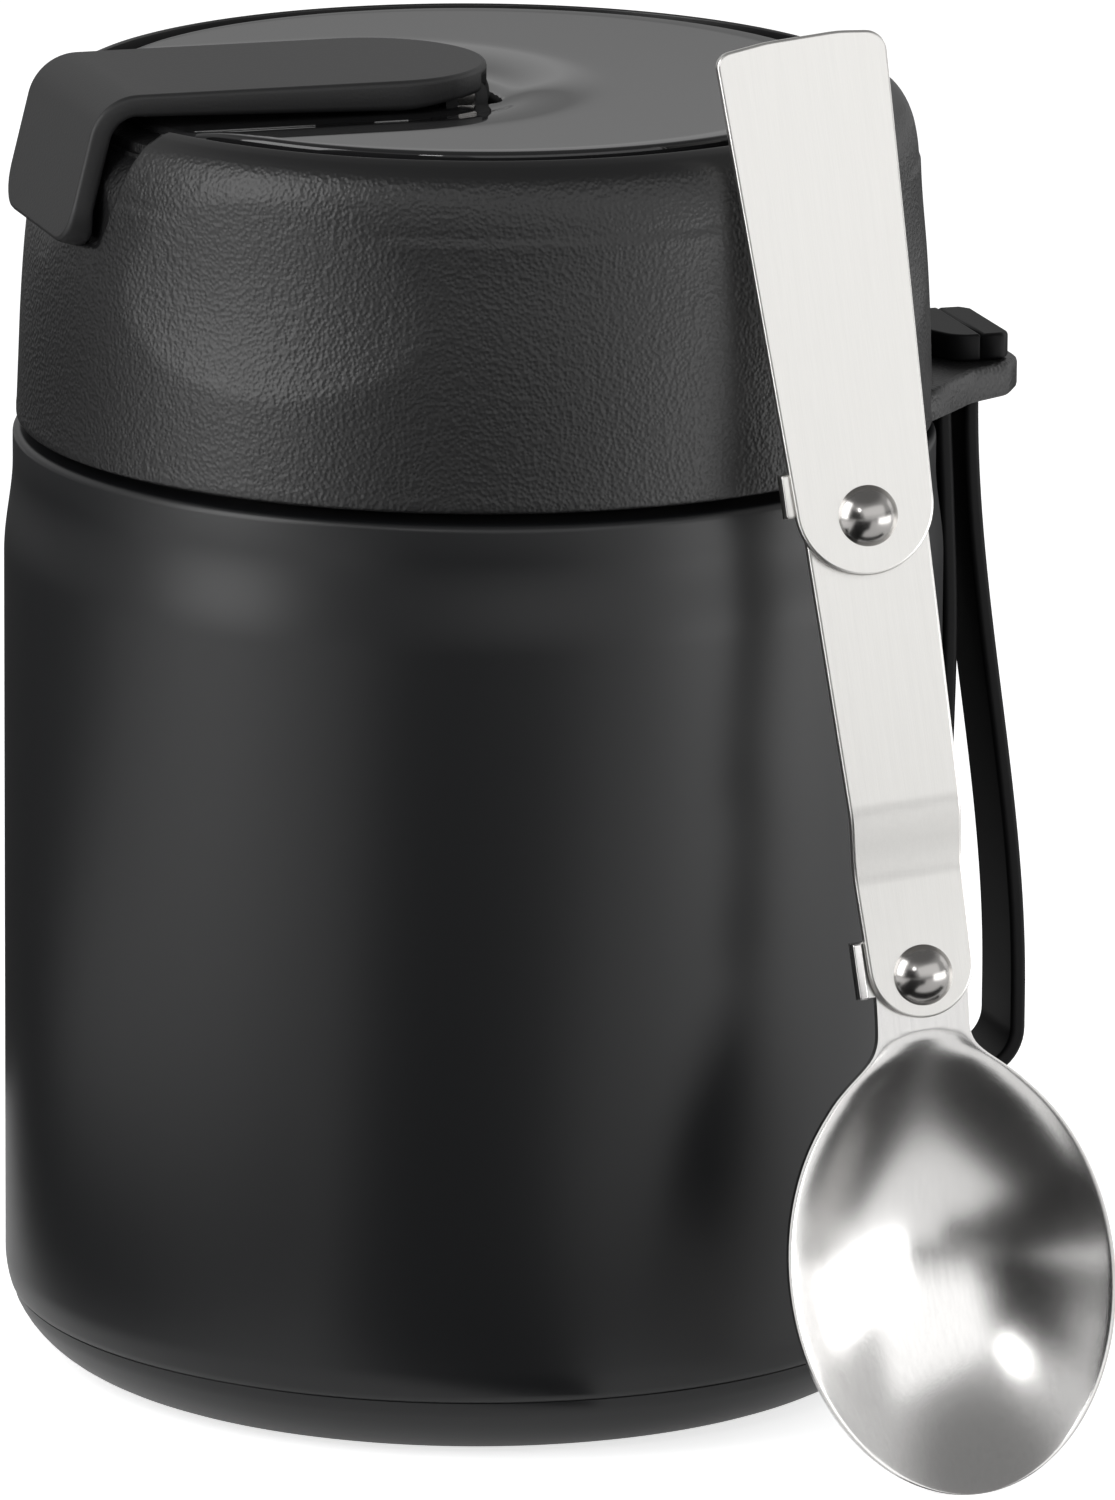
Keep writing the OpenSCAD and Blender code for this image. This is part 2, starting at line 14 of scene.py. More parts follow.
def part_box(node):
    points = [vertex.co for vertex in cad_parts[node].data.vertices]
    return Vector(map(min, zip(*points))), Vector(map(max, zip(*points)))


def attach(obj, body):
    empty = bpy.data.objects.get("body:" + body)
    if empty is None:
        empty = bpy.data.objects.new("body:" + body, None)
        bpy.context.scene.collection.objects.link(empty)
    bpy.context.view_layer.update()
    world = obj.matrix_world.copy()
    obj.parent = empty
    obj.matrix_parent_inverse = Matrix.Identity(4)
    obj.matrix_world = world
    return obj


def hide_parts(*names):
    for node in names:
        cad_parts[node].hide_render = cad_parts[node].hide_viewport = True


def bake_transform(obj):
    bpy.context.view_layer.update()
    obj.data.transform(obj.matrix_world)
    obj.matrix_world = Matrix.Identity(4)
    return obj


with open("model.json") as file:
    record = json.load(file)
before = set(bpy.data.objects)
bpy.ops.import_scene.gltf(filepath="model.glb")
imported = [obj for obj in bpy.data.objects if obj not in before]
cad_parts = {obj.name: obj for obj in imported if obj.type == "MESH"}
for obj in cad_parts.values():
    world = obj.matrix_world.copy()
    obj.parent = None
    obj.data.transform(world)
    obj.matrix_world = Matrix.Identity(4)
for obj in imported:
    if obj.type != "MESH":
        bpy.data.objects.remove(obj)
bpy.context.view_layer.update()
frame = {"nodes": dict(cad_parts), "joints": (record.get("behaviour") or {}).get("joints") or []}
MM = 0.001


def size(node):
    """Lowest and highest corner of a CAD node, in millimetres."""
    low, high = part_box(node)
    return low / MM, high / MM


# ---------- sizes ----------

BODY_R = size("outer_shell")[1].x
BODY_H = size("outer_shell")[1].z
SEAM_Z = size("outer_shell")[0].z
RIM_Z = size("mouth_ring")[1].z
MOUTH_R = 38.2
NECK_OUT = MOUTH_R + 0.95
WALL = 0.5
VESSEL_WALL = 0.4
BASE_ROUND = 10.5
BASE_FLAT = BODY_R - BASE_ROUND
BAND_R = BODY_R - 0.9
PAD_R, PAD_T = size("bottom_disc")[1].x, size("bottom_disc")[1].z
VESSEL_LOW = size("inner_vessel")[0].z
VESSEL_R = size("inner_vessel")[1].x
VESSEL_ROUND = 14
WELD_Z = size("inner_vessel")[1].z
COLLAR_LOW, COLLAR_TOP = size("neck_collar")[0].z, size("neck_collar")[1].z
COLLAR_FLANGE = size("neck_collar")[1].x
COLLAR_R = COLLAR_FLANGE - 1.3

LID_LOW = size("lid_shell")[0].z
LID_R = -size("lid_shell")[0].x
PLATE_TOP = size("lid_plate")[1].z
PLATE_LOW = size("lid_plate")[0].z
PLATE_R = size("lid_plate")[1].x
LID_TOP = PLATE_TOP - 0.1
GROOVE_R = LID_R - 5.65
GROOVE_Z = LID_TOP - 1.7
CASING_IN = 44.8
CAP_R = 41.6
SEAT_Z = RIM_Z - 1.1
THREAD_LEAD = 12
RIB_H = 1.8
RIB_SPAN = 54
STARTS = 3

LEVER_TOP = size("vent_lever")[1].z
LEVER_LOW = size("vent_lever")[0].z
LEVER_W = 2 * size("vent_lever")[1].y
# middle of the nose's round end, the slab's thickness, and how much deeper its sides reach
NOSE_X = 0.5 - LEVER_W / 2
LEVER_T = 2.2
SKIRT = 0.85
BEND_R = 5.2
BEND_X = 7.85 - LID_R
PIVOT_X = -3
PIVOT_Z = LEVER_TOP - 3.2
CHANNEL_Z = PLATE_TOP - 1.7
VENT_X = -14

SHELF_LOW = LID_LOW + 0.2
SHELF_TOP = SHELF_LOW + 3.6
STRAP_W = size("strap_loop")[1].y * 2
STRAP_T = 1.6
LOOP_LOW = size("strap_loop")[0].z
LOOP_TOP = size("strap_loop")[1].z
LOOP_OUT = size("strap_loop")[1].x
LOOP_IN = 48.3
HEAD_TOP = size("strap_head_outer")[1].z

SPOON_MOVES = {joint["name"]: joint for joint in frame["joints"]}
RIVET_LOW = Vector(SPOON_MOVES["link_fold"]["pos_m"]) / MM
RIVET_HIGH = Vector(SPOON_MOVES["handle_fold"]["pos_m"]) / MM
SPOON_BACK = Vector(SPOON_MOVES["link_fold"]["axis"]).normalized()
SPOON_UP = (RIVET_HIGH - RIVET_LOW) - (RIVET_HIGH - RIVET_LOW).dot(SPOON_BACK) * SPOON_BACK
LINK_L = SPOON_UP.length
SPOON_UP = SPOON_UP.normalized()
SPOON_SIDE = SPOON_BACK.cross(SPOON_UP)
# from the spoon's own millimetres (right, back, up from the lower rivet) to the jar's
SPOON_AXES = Matrix((SPOON_SIDE, SPOON_BACK, SPOON_UP)).transposed()
SPOON = Matrix.Translation(RIVET_LOW) @ SPOON_AXES.to_4x4()


# ---------- node graphs ----------


def maths(operation, swapped=False):
    """Method that adds one Math node, for an operator or a call by name."""

    def method(value, other=0.0):
        pair = (other, value) if swapped else (value, other)
        return value.math(operation, *pair)

    return method


class Val:
    """A socket that takes Python's arithmetic: each operation adds one Math node."""

    def __init__(self, graph, socket):
        self.graph = graph
        self.socket = socket

    def math(self, operation, *operands):
        sockets = dict(enumerate(operands))
        return self.graph.node("ShaderNodeMath", {"operation": operation}, sockets)

    __add__ = __radd__ = maths("ADD")
    __sub__ = maths("SUBTRACT")
    __rsub__ = maths("SUBTRACT", swapped=True)
    __mul__ = __rmul__ = maths("MULTIPLY")
    __truediv__ = maths("DIVIDE")
    __gt__ = maths("GREATER_THAN")
    least = maths("MINIMUM")
    most = maths("MAXIMUM")
    floor = maths("FLOOR")


class Graph:
    """Adds nodes to one tree, each by its type, its settings and the values of its sockets."""

    def __init__(self, tree):
        self.tree = tree

    def node(self, kind, settings=None, sockets=None, out=0):
        made = self.tree.nodes.new(kind)
        settings = dict(settings or {})
        stops = settings.pop("stops", None)
        for name, value in settings.items():
            setattr(made, name, value)
        if stops:
            for place, level in stops[2:]:
                made.color_ramp.elements.new(place)
            for element, (place, level) in zip(made.color_ramp.elements, sorted(stops)):
                element.position = place
                element.color = (level, level, level, 1)
        for name, value in (sockets or {}).items():
            if isinstance(value, Val):
                self.tree.links.new(value.socket, made.inputs[name])
            else:
                made.inputs[name].default_value = value
        return Val(self, made.outputs[out]) if made.outputs else None

    def axis(self, vector, name):
        """One part, X, Y or Z, of a vector."""
        return self.node("ShaderNodeSeparateXYZ", {}, {0: vector}, out=name)


# ---------- geometry nodes: turned and threaded pieces ----------

SWEEP_INPUTS = (
    ("Steps", "NodeSocketInt"),
    ("Sweep", "NodeSocketFloat"),
    ("Rise", "NodeSocketFloat"),
    ("Root Radius", "NodeSocketFloat"),
    ("Taper", "NodeSocketFloat"),
    ("Copies", "NodeSocketInt"),
    ("Crease", "NodeSocketFloat"),
    ("Finish", "NodeSocketMaterial"),
)


def sweep_tree():
    """Sweeps a profile, whose points lie in the XZ plane, about the Z axis: a whole turn makes
    a turned piece, and a part turn with a rise and tapered ends makes a thread rib."""
    tree = bpy.data.node_groups.new("sweep about the axis", "GeometryNodeTree")
    tree.interface.new_socket("Profile", in_out="INPUT", socket_type="NodeSocketGeometry")
    for name, kind in SWEEP_INPUTS:
        tree.interface.new_socket(name, in_out="INPUT", socket_type=kind)
    tree.interface.new_socket("Mesh", in_out="OUTPUT", socket_type="NodeSocketGeometry")
    graph = Graph(tree)
    entry = tree.nodes.new("NodeGroupInput")
    given = {socket.name: Val(graph, socket) for socket in entry.outputs if socket.name}
    steps = given["Steps"]

    points = graph.node("GeometryNodeAttributeDomainSize", {}, {"Geometry": given["Profile"]})
    grid = graph.node("GeometryNodeMeshGrid", {}, {"Vertices X": steps + 1, "Vertices Y": points})
    index = graph.node("GeometryNodeInputIndex")
    column = ((index + 0.5) / points).floor()
    sample = graph.node(
        "GeometryNodeSampleIndex",
        {"data_type": "FLOAT_VECTOR", "domain": "POINT"},
        {
            "Geometry": given["Profile"],
            "Value": graph.node("GeometryNodeInputPosition"),
            "Index": index - column * points,
        },
    )
    radius = graph.axis(sample, "X")
    height = graph.axis(sample, "Z")
    share = column / steps
    tiny = 0.0001
    taper = ((share.least(1 - share) + tiny) / (given["Taper"] + tiny)).least(1)
    root = given["Root Radius"]
    reach = root + (radius - root) * taper
    angle = share * given["Sweep"]
    place = graph.node(
        "ShaderNodeCombineXYZ",
        {},
        {
            "X": reach * angle.math("COSINE", angle),
            "Y": reach * angle.math("SINE", angle),
            "Z": height + share * given["Rise"],
        },
    )
    swept = graph.node("GeometryNodeSetPosition", {}, {"Geometry": grid, "Position": place})
    merged = graph.node("GeometryNodeMergeByDistance", {}, {"Geometry": swept, "Distance": 2e-6})
    smooth = graph.node("GeometryNodeSetShadeSmooth", {"domain": "FACE"}, {"Geometry": merged})
    fold = graph.node("GeometryNodeInputMeshEdgeAngle", {}, {}, out="Unsigned Angle")
    creased = graph.node(
        "GeometryNodeSetShadeSmooth",
        {"domain": "EDGE"},
        {"Geometry": smooth, "Selection": fold > given["Crease"], "Shade Smooth": False},
    )
    copies = given["Copies"]
    posts = graph.node("GeometryNodeMeshLine", {}, {"Count": copies, "Offset": (0, 0, 0)})
    turn = graph.node(
        "ShaderNodeCombineXYZ",
        {},
        {"Z": graph.node("GeometryNodeInputIndex") * math.tau / copies},
    )
    placed = graph.node(
        "GeometryNodeInstanceOnPoints",
        {},
        {"Points": posts, "Instance": creased, "Rotation": turn},
    )
    real = graph.node("GeometryNodeRealizeInstances", {}, {"Geometry": placed})
    final = graph.node(
        "GeometryNodeSetMaterial", {}, {"Geometry": real, "Material": given["Finish"]}
    )
    leave = tree.nodes.new("NodeGroupOutput")
    tree.links.new(final.socket, leave.inputs["Mesh"])
    return tree


SWEEP = sweep_tree()
SWEEP_SOCKET = {
    item.name: item.identifier
    for item in SWEEP.interface.items_tree
    if item.item_type == "SOCKET" and item.in_out == "INPUT"
}


# ---------- mesh helpers ----------


def linked(name, data):
    """An object at the origin with the mesh, lamp or camera given."""
    piece = bpy.data.objects.new(name, data)
    bpy.context.scene.collection.objects.link(piece)
    return piece


def settle(piece):
    """Turns what the piece's modifiers make into its plain mesh, with its faces outward."""
    seen = piece.evaluated_get(bpy.context.evaluated_depsgraph_get())
    mesh = bpy.data.meshes.new_from_object(seen)
    piece.modifiers.clear()
    piece.data = mesh
    face_outward(mesh)
    return piece


def face_outward(mesh):
    """Turns the mesh the right way out if its enclosed volume comes out negative."""
    shape = bmesh.new()
    shape.from_mesh(mesh)
    if shape.calc_volume(signed=True) < 0:
        bmesh.ops.reverse_faces(shape, faces=shape.faces)
        shape.to_mesh(mesh)
    shape.free()


def finished(name, shape, *finishes):
    """Object from a bmesh, with its faces outward."""
    mesh = bpy.data.meshes.new(name)
    shape.to_mesh(mesh)
    shape.free()
    for finish in finishes:
        mesh.materials.append(finish)
    face_outward(mesh)
    return linked(name, mesh)


def from_grid(name, rows, finish, closed=False, wrap=False, capped=False, crease=35):
    """Mesh through rows of points in millimetres. closed joins the last row to the first, wrap
    joins each row's last point to its first, and capped fills the first and the last row."""
    shape = bmesh.new()
    grid = [[shape.verts.new(Vector(p) * MM) for p in row] for row in rows]
    depth = len(grid)
    width = len(grid[0])
    for j in range(depth if closed else depth - 1):
        for i in range(width if wrap else width - 1):
            below = grid[j]
            above = grid[(j + 1) % depth]
            k = (i + 1) % width
            shape.faces.new((below[i], below[k], above[k], above[i]))
    if capped:
        shape.faces.new(grid[0])
        shape.faces.new(grid[-1])
    bmesh.ops.remove_doubles(shape, verts=shape.verts, dist=2e-6)
    bmesh.ops.dissolve_degenerate(shape, edges=shape.edges, dist=1e-6)
    bmesh.ops.recalc_face_normals(shape, faces=shape.faces)
    piece = finished(name, shape, finish)
    piece.data.shade_smooth()
    piece.data.set_sharp_from_angle(angle=math.radians(crease))
    return piece


def prism(name, outline, low, high, finish, bevel=0.3, move=None, cuts=()):
    """Bevelled plate: outline points (a, b) with its thickness from low to high along the third
    axis. cuts are planes (point, normal) that only add edges. move is a matrix or a function, in
    millimetres, that puts (a, b, thickness) in place."""
    shape = bmesh.new()
    base = [shape.verts.new((a, b, low)) for a, b in outline]
    face = shape.faces.new(base)
    raised = bmesh.ops.extrude_face_region(shape, geom=[face])
    tops = [g for g in raised["geom"] if isinstance(g, bmesh.types.BMVert)]
    bmesh.ops.translate(shape, verts=tops, vec=(0, 0, high - low))
    bmesh.ops.recalc_face_normals(shape, faces=shape.faces)
    rims = [e for e in shape.edges if abs(e.verts[0].co.z - e.verts[1].co.z) < 1e-6]
    bmesh.ops.bevel(
        shape, geom=rims, offset=bevel, segments=3, profile=0.5, affect="EDGES", clamp_overlap=True
    )
    shape.normal_update()
    for edge in shape.edges:
        caps = [abs(f.normal.z) > 0.999 for f in edge.link_faces]
        edge.smooth = len(set(caps)) == 1
    for point, normal in cuts:
        everything = shape.verts[:] + shape.edges[:] + shape.faces[:]
        bmesh.ops.bisect_plane(shape, geom=everything, plane_co=point, plane_no=normal)
    for face in shape.faces:
        face.smooth = True
    for vert in shape.verts:
        if callable(move):
            vert.co = move(vert.co)
        elif move:
            vert.co = move @ vert.co
        vert.co = vert.co * MM
    return finished(name, shape, finish)


def join(name, *parts):
    """One piece made of several meshes that share the same finish order."""
    shape = bmesh.new()
    for part in parts:
        shape.from_mesh(part.data)
    finishes = list(parts[0].data.materials)
    for part in parts:
        bpy.data.objects.remove(part)
    return finished(name, shape, *finishes)


def cut(piece, *tools):
    """Takes the closed tool meshes out of the piece."""
    for tool in tools:
        knife = piece.modifiers.new("cut", "BOOLEAN")
        knife.operation = "DIFFERENCE"
        knife.solver = "EXACT"
        knife.object = tool
    settle(piece)
    for tool in tools:
        bpy.data.objects.remove(tool)
    return piece


def arc(cx, cy, radius, start, end, steps=12):
    """Points of an arc, with angles in degrees."""
    turns = [math.radians(start + (end - start) * k / steps) for k in range(steps + 1)]
    return [(cx + radius * math.cos(a), cy + radius * math.sin(a)) for a in turns]


def ease(t):
    """0 to 1 with level ends."""
    t = max(0.0, min(1.0, t))
    return t * t * (3 - 2 * t)


def mix(a, b, share):
    """From a at 0 to b at 1."""
    return a + (b - a) * share


def rounded(corners, closed=True, step=9):
    """Outline through corners (x, y) or (x, y, radius), each rounded corner as an arc."""
    count = len(corners)
    places = [Vector(c[:2]) for c in corners]
    outline = []
    for i, corner in enumerate(corners):
        here = places[i]
        radius = corner[2] if len(corner) > 2 else 0
        if not radius or (not closed and i in (0, count - 1)):
            outline.append(tuple(here))
            continue
        back = places[i - 1] - here
        ahead = places[(i + 1) % count] - here
        half = back.angle(ahead) / 2
        reach = min(radius / math.tan(half), 0.999 * back.length, 0.999 * ahead.length)
        radius = reach * math.tan(half)
        middle = here + (back.normalized() + ahead.normalized()).normalized() * (
            radius / math.sin(half)
        )
        first = here + back.normalized() * reach - middle
        last = here + ahead.normalized() * reach - middle
        side = math.copysign(1, first.x * last.y - first.y * last.x)
        turn = math.pi - 2 * half
        steps = max(2, round(math.degrees(turn) / step))
        for k in range(steps + 1):
            spin = Matrix.Rotation(side * turn * k / steps, 2)
            outline.append(tuple(middle + spin @ first))
    return outline


def both_sides(half):
    """Closed outline that is the same on both sides of the X axis, from its half at +Y."""
    return rounded([(x, -y, *radius) for x, y, *radius in half] + half[::-1])


def smooth_at(knots, x):
    """Value at x of a smooth curve through knots (x, value) in rising order of x."""
    if x <= knots[0][0]:
        return knots[0][1]
    for i in range(len(knots) - 1):
        (x0, y0), (x1, y1) = knots[i], knots[i + 1]
        if x <= x1:
            before = knots[max(i - 1, 0)]
            after = knots[min(i + 2, len(knots) - 1)]
            span = x1 - x0
            slope0 = (y1 - before[1]) / (x1 - before[0]) * span
            slope1 = (after[1] - y0) / (after[0] - x0) * span
            t = (x - x0) / span
            return (
                (2 * t**3 - 3 * t**2 + 1) * y0
                + (t**3 - 2 * t**2 + t) * slope0
                + (3 * t**2 - 2 * t**3) * y1
                + (t**3 - t**2) * slope1
            )
    return knots[-1][1]


def sweep(name, profile, finish, steps=192, turn=360, rise=0.0, root=0.0, taper=0.0, copies=1,
          crease=32):
    """Piece swept about the jar's axis from a profile of (radius, height) points."""
    mesh = bpy.data.meshes.new(name)
    points = [(r * MM, 0, z * MM) for r, z in profile]
    mesh.from_pydata(points, [(i, i + 1) for i in range(len(points) - 1)], [])
    piece = linked(name, mesh)
    turner = piece.modifiers.new("sweep", "NODES")
    turner.node_group = SWEEP
    values = {
        "Steps": steps,
        "Sweep": math.radians(turn),
        "Rise": rise * MM,
        "Root Radius": root * MM,
        "Taper": taper,
        "Copies": copies,
        "Crease": math.radians(crease),
        "Finish": finish,
    }
    for label, value in values.items():
        turner[SWEEP_SOCKET[label]] = value
    return settle(piece)


def ring(name, profile, finish, **options):
    """Turned piece whose closed profile doesn't reach the axis."""
    return sweep(name, profile + profile[:1], finish, **options)


def shift(piece, x):
    """Moves the piece along X, in millimetres."""
    piece.data.transform(Matrix.Translation((x * MM, 0, 0)))
    return piece


def hand_over(piece, body, slot, *nodes):
    """Puts the finished piece on its CAD body and hides the nodes it stands for. The slot is not used.
    """
    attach(piece, body)
    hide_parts(*nodes)


# ---------- materials ----------


def empty_graph(owner):
    """The node tree of a material or world, emptied."""
    owner.use_nodes = True
    owner.node_tree.nodes.clear()
    return Graph(owner.node_tree)


def material(name, colour, roughness, metallic=0.0, specular=0.5, ior=1.5, looks=None):
    """One Principled shader. Constants sit on its own sockets, and looks(graph, colour, roughness)
    gives the sockets that vary over the surface."""
    made = bpy.data.materials.new(name)
    graph = empty_graph(made)
    sockets = {
        "Base Color": (*colour, 1),
        "Roughness": roughness,
        "Metallic": metallic,
        "Specular IOR Level": specular,
        "IOR": ior,
    }
    if looks:
        sockets.update(looks(graph, colour, roughness))
    shader = graph.node("ShaderNodeBsdfPrincipled", {}, sockets)
    graph.node("ShaderNodeOutputMaterial", {}, {"Surface": shader})
    made.diffuse_color = (*colour, 1)
    return made


def object_place(graph):
    """Place on the piece, in the jar's own frame."""
    return graph.node("ShaderNodeTexCoord", {}, {}, out="Object")


def height_of(graph):
    """Height over the base, in millimetres."""
    return graph.axis(object_place(graph), "Z") / MM


def stretched(graph, scale, turn):
    """Object coordinates turned and then scaled along the turned axes."""
    plain = {"vector_type": "POINT"}
    place = {"Vector": object_place(graph), "Rotation": turn}
    turned = graph.node("ShaderNodeMapping", plain, place)
    return graph.node("ShaderNodeMapping", plain, {"Vector": turned, "Scale": scale})


def noise(graph, place, scale, detail=2.0, rough=0.5):
    return graph.node(
        "ShaderNodeTexNoise",
        {},
        {"Vector": place, "Scale": scale, "Detail": detail, "Roughness": rough},
        out="Fac",
    )


def bump(graph, height, depth):
    """Normal from a height of 0 to 1, whose full depth is in millimetres."""
    return graph.node("ShaderNodeBump", {}, {"Height": height, "Distance": depth * MM})


def tinted(graph, colour, level):
    """The colour brightened or darkened by a level that varies round 1."""
    return graph.node("ShaderNodeVectorMath", {"operation": "SCALE"}, {0: colour, "Scale": level})


GRAIN_TOP = LID_TOP - 1.3
GRAIN_FADE = 0.8
GRAIN_SIZE = 0.42
WRINKLE_SIZE = 1.1


def leather_grain(graph, colour, roughness):
    """Fine leather grain on the lid's side, which fades out at the smooth rim."""
    place = object_place(graph)
    cells = graph.node(
        "ShaderNodeTexVoronoi",
        {"feature": "SMOOTH_F1"},
        {"Vector": place, "Scale": 1 / (GRAIN_SIZE * MM), "Smoothness": 0.6},
        out="Distance",
    )
    wrinkle = noise(graph, place, 1 / (WRINKLE_SIZE * MM), 3.0)
    mask = ((GRAIN_TOP - height_of(graph)) / GRAIN_FADE).least(1).most(0)
    grain = (cells * 0.75 + wrinkle * 0.5) * mask
    return {"Normal": bump(graph, grain, 0.1), "Roughness": roughness + 0.06 * mask}


def fine_pebble(size, depth):
    """A fine even moulded texture."""

    def looks(graph, colour, roughness):
        grain = noise(graph, object_place(graph), 1 / (size * MM), 2.0)
        return {"Normal": bump(graph, grain, depth)}

    return looks


def brushed(depth, contrast):
    """Fine brush lines along the spoon's length."""

    def looks(graph, colour, roughness):
        turn = SPOON.to_3x3().inverted().to_euler()
        fine = noise(graph, stretched(graph, (14000, 14000, 260), turn), 1.0, 3.0, 0.6)
        broad = noise(graph, stretched(graph, (2600, 2600, 60), turn), 1.0, 2.0)
        level = 1 - contrast * 0.5 + contrast * (fine * 0.6 + broad * 0.4)
        return {
            "Base Color": tinted(graph, colour, level),
            "Roughness": roughness + 0.12 * fine,
            "Normal": bump(graph, fine, depth),
        }

    return looks


FINISH = {
    "powder": material(
        "satin powder coat", (0.0042, 0.0045, 0.0052), 0.38, specular=0.42,
        looks=fine_pebble(0.16, 0.004),
    ),
    "vessel": material("satin vessel steel", (0.6, 0.59, 0.57), 0.3, metallic=1.0),
    "pad": material("base pad rubber", (0.02, 0.02, 0.02), 0.75, specular=0.3),
    "casing": material(
        "grained lid plastic", (0.0045, 0.0045, 0.0048), 0.36, looks=leather_grain
    ),
    "gloss": material("gloss disc plastic", (0.012, 0.012, 0.0125), 0.045, ior=1.46),
    "inner": material("inner lid plastic", (0.025, 0.025, 0.026), 0.42, specular=0.4),
    "lever": material(
        "matte lever plastic", (0.012, 0.012, 0.0125), 0.5, specular=0.42,
        looks=fine_pebble(0.3, 0.02),
    ),
    "grey silicone": material("grey silicone", (0.12, 0.12, 0.12), 0.6, specular=0.35),
    "strap": material("black silicone", (0.004, 0.004, 0.0043), 0.48, specular=0.12),
    "spoon": material(
        "brushed spoon steel", (0.68, 0.67, 0.65), 0.26, metallic=1.0, looks=brushed(0.006, 0.16)
    ),
    "bowl": material(
        "brushed bowl steel", (0.68, 0.67, 0.66), 0.13, metallic=1.0, looks=brushed(0.006, 0.25)
    ),
    "dome": material("polished rivet steel", (0.34, 0.33, 0.32), 0.2, metallic=1.0),
}
for node, finish in (
    ("vacuum_getter", "vessel"),
    ("inner_cap", "inner"),
    ("lever_pin", "dome"),
):
    slots = frame["nodes"][node].data.materials
    slots.clear()
    slots.append(FINISH[finish])


# ---------- jar ----------


def with_inside(outer, wall):
    """Closed profile from an open outer side (radius, height) and a wall of that thickness."""
    inner = []
    for i, point in enumerate(outer):
        back = Vector(outer[max(i - 1, 0)])
        ahead = Vector(outer[min(i + 1, len(outer) - 1)])
        along = (ahead - back).normalized()
        inner.append((max(0.0, point[0] - along.y * wall), point[1] + along.x * wall))
    return outer + inner[::-1]


def jar_body():
    """Outer wall, base cap and pad, with a fine seam where the base cap is welded on."""
    bulge_low = BODY_H - 13.2
    band_low = BODY_H - 3.7
    edge_r = 0.8
    seam_step = 0.25
    seam_angle = -math.degrees(math.asin(1 - SEAM_Z / BASE_ROUND))
    seam_gap = 0.06
    side = arc(BASE_FLAT, BASE_ROUND, BASE_ROUND, seam_angle, 0, 8)
    side[0] = (side[0][0] - seam_step, side[0][1] + seam_gap)
    side += [
        (mix(BODY_R, BAND_R, ease(k / 16)), mix(bulge_low, band_low, k / 16)) for k in range(17)
    ]
    side += arc(BAND_R - edge_r, BODY_H - edge_r, edge_r, 0, 90, 6)
    side.append((NECK_OUT, BODY_H))
    shell = ring("body_shell", with_inside(side, WALL), FINISH["powder"], steps=256)
    hand_over(shell, "jar", "powder_coat", "outer_shell")

    foot = [(PAD_R + 0.1, PAD_T), (PAD_R + 0.1, 0.25), (PAD_R + 0.35, 0)]
    foot += arc(BASE_FLAT, BASE_ROUND, BASE_ROUND, -90, seam_angle, 14)
    foot[-1] = (foot[-1][0] - seam_step, foot[-1][1] - seam_gap)
    inside = arc(BASE_FLAT, BASE_ROUND, BASE_ROUND - WALL, seam_angle, -90, 10)
    inside += [(PAD_R + 0.9, WALL), (PAD_R + 0.9, PAD_T + WALL), (0, PAD_T + WALL)]
    cap = sweep("base_shell", [(0, PAD_T)] + foot + inside, FINISH["powder"], steps=256)
    hand_over(cap, "jar", "powder_coat", "base_cap")

    pad_line = rounded([(0, 0), (PAD_R, 0, 0.4), (PAD_R, PAD_T), (0, PAD_T)])
    hand_over(sweep("base_pad", pad_line, FINISH["pad"]), "jar", "pad_rubber", "bottom_disc")


def jar_neck():
    """Food vessel, the neck's rolled lip and the collar with the outer thread."""
    shoulder_low = WELD_Z - 14
    vessel = [(0, VESSEL_LOW)]
    vessel += arc(VESSEL_R - VESSEL_ROUND, VESSEL_LOW + VESSEL_ROUND, VESSEL_ROUND, -90, 0, 14)
    vessel += [
        (mix(VESSEL_R, MOUTH_R + VESSEL_WALL, ease(k / 12)), shoulder_low + 10 * k / 12)
        for k in range(13)
    ]
    vessel.append((MOUTH_R + VESSEL_WALL, WELD_Z))
    inner = ring("food_vessel", with_inside(vessel, VESSEL_WALL), FINISH["vessel"])
    hand_over(inner, "jar", "vessel_steel", "inner_vessel")

    lip_r = 0.8
    lip = arc(MOUTH_R + lip_r, RIM_Z - lip_r, lip_r, -79, 180, 20)
    neck = [(NECK_OUT, WELD_Z)] + lip + [(MOUTH_R, WELD_Z)]
    hand_over(ring("mouth_lip", neck, FINISH["vessel"]), "jar", "vessel_steel", "mouth_ring")

    flange_top = COLLAR_LOW + 1.2
    band = rounded(
        [
            (NECK_OUT, COLLAR_LOW),
            (COLLAR_FLANGE, COLLAR_LOW, 0.3),
            (COLLAR_FLANGE, flange_top, 0.3),
            (COLLAR_R, flange_top, 0.3),
            (COLLAR_R, COLLAR_TOP, 0.6),
            (NECK_OUT, COLLAR_TOP),
        ]
    )
    collar = ring("thread_collar", band, FINISH["inner"])
    threads = thread("collar_threads", COLLAR_R - 0.1, COLLAR_R + 0.8, BODY_H + 9)
    hand_over(join("thread_collar", collar, threads), "jar", "stopper_plastic", "neck_collar")


def thread(name, root, crest, z):
    """Three helical thread ribs between two radii, from height z."""
    flank = 0.28 * RIB_H
    half = RIB_H / 2
    section = [(root, z - half), (crest, z - half + flank), (crest, z + half - flank), (root, z + half)]
    rise = THREAD_LEAD * RIB_SPAN / 360
    return ring(
        name, section, FINISH["inner"], steps=40, turn=RIB_SPAN, rise=rise, root=root, taper=0.12,
        copies=STARTS,
    )


# ---------- lid ----------

SCOOPS = 4
SCOOP_DEPTH = 1.25
SCOOP_IN = 0.85
SCOOP_Z = LID_LOW + 24
SCOOP_REACH = 22
# radii of the scoop's hollow, in plan and down its lower half
SCOOP_FLAT = 62
SCOOP_DISH = 55
RECESS_HALF_LOW = 13.2
RECESS_HALF_TOP = 16.4
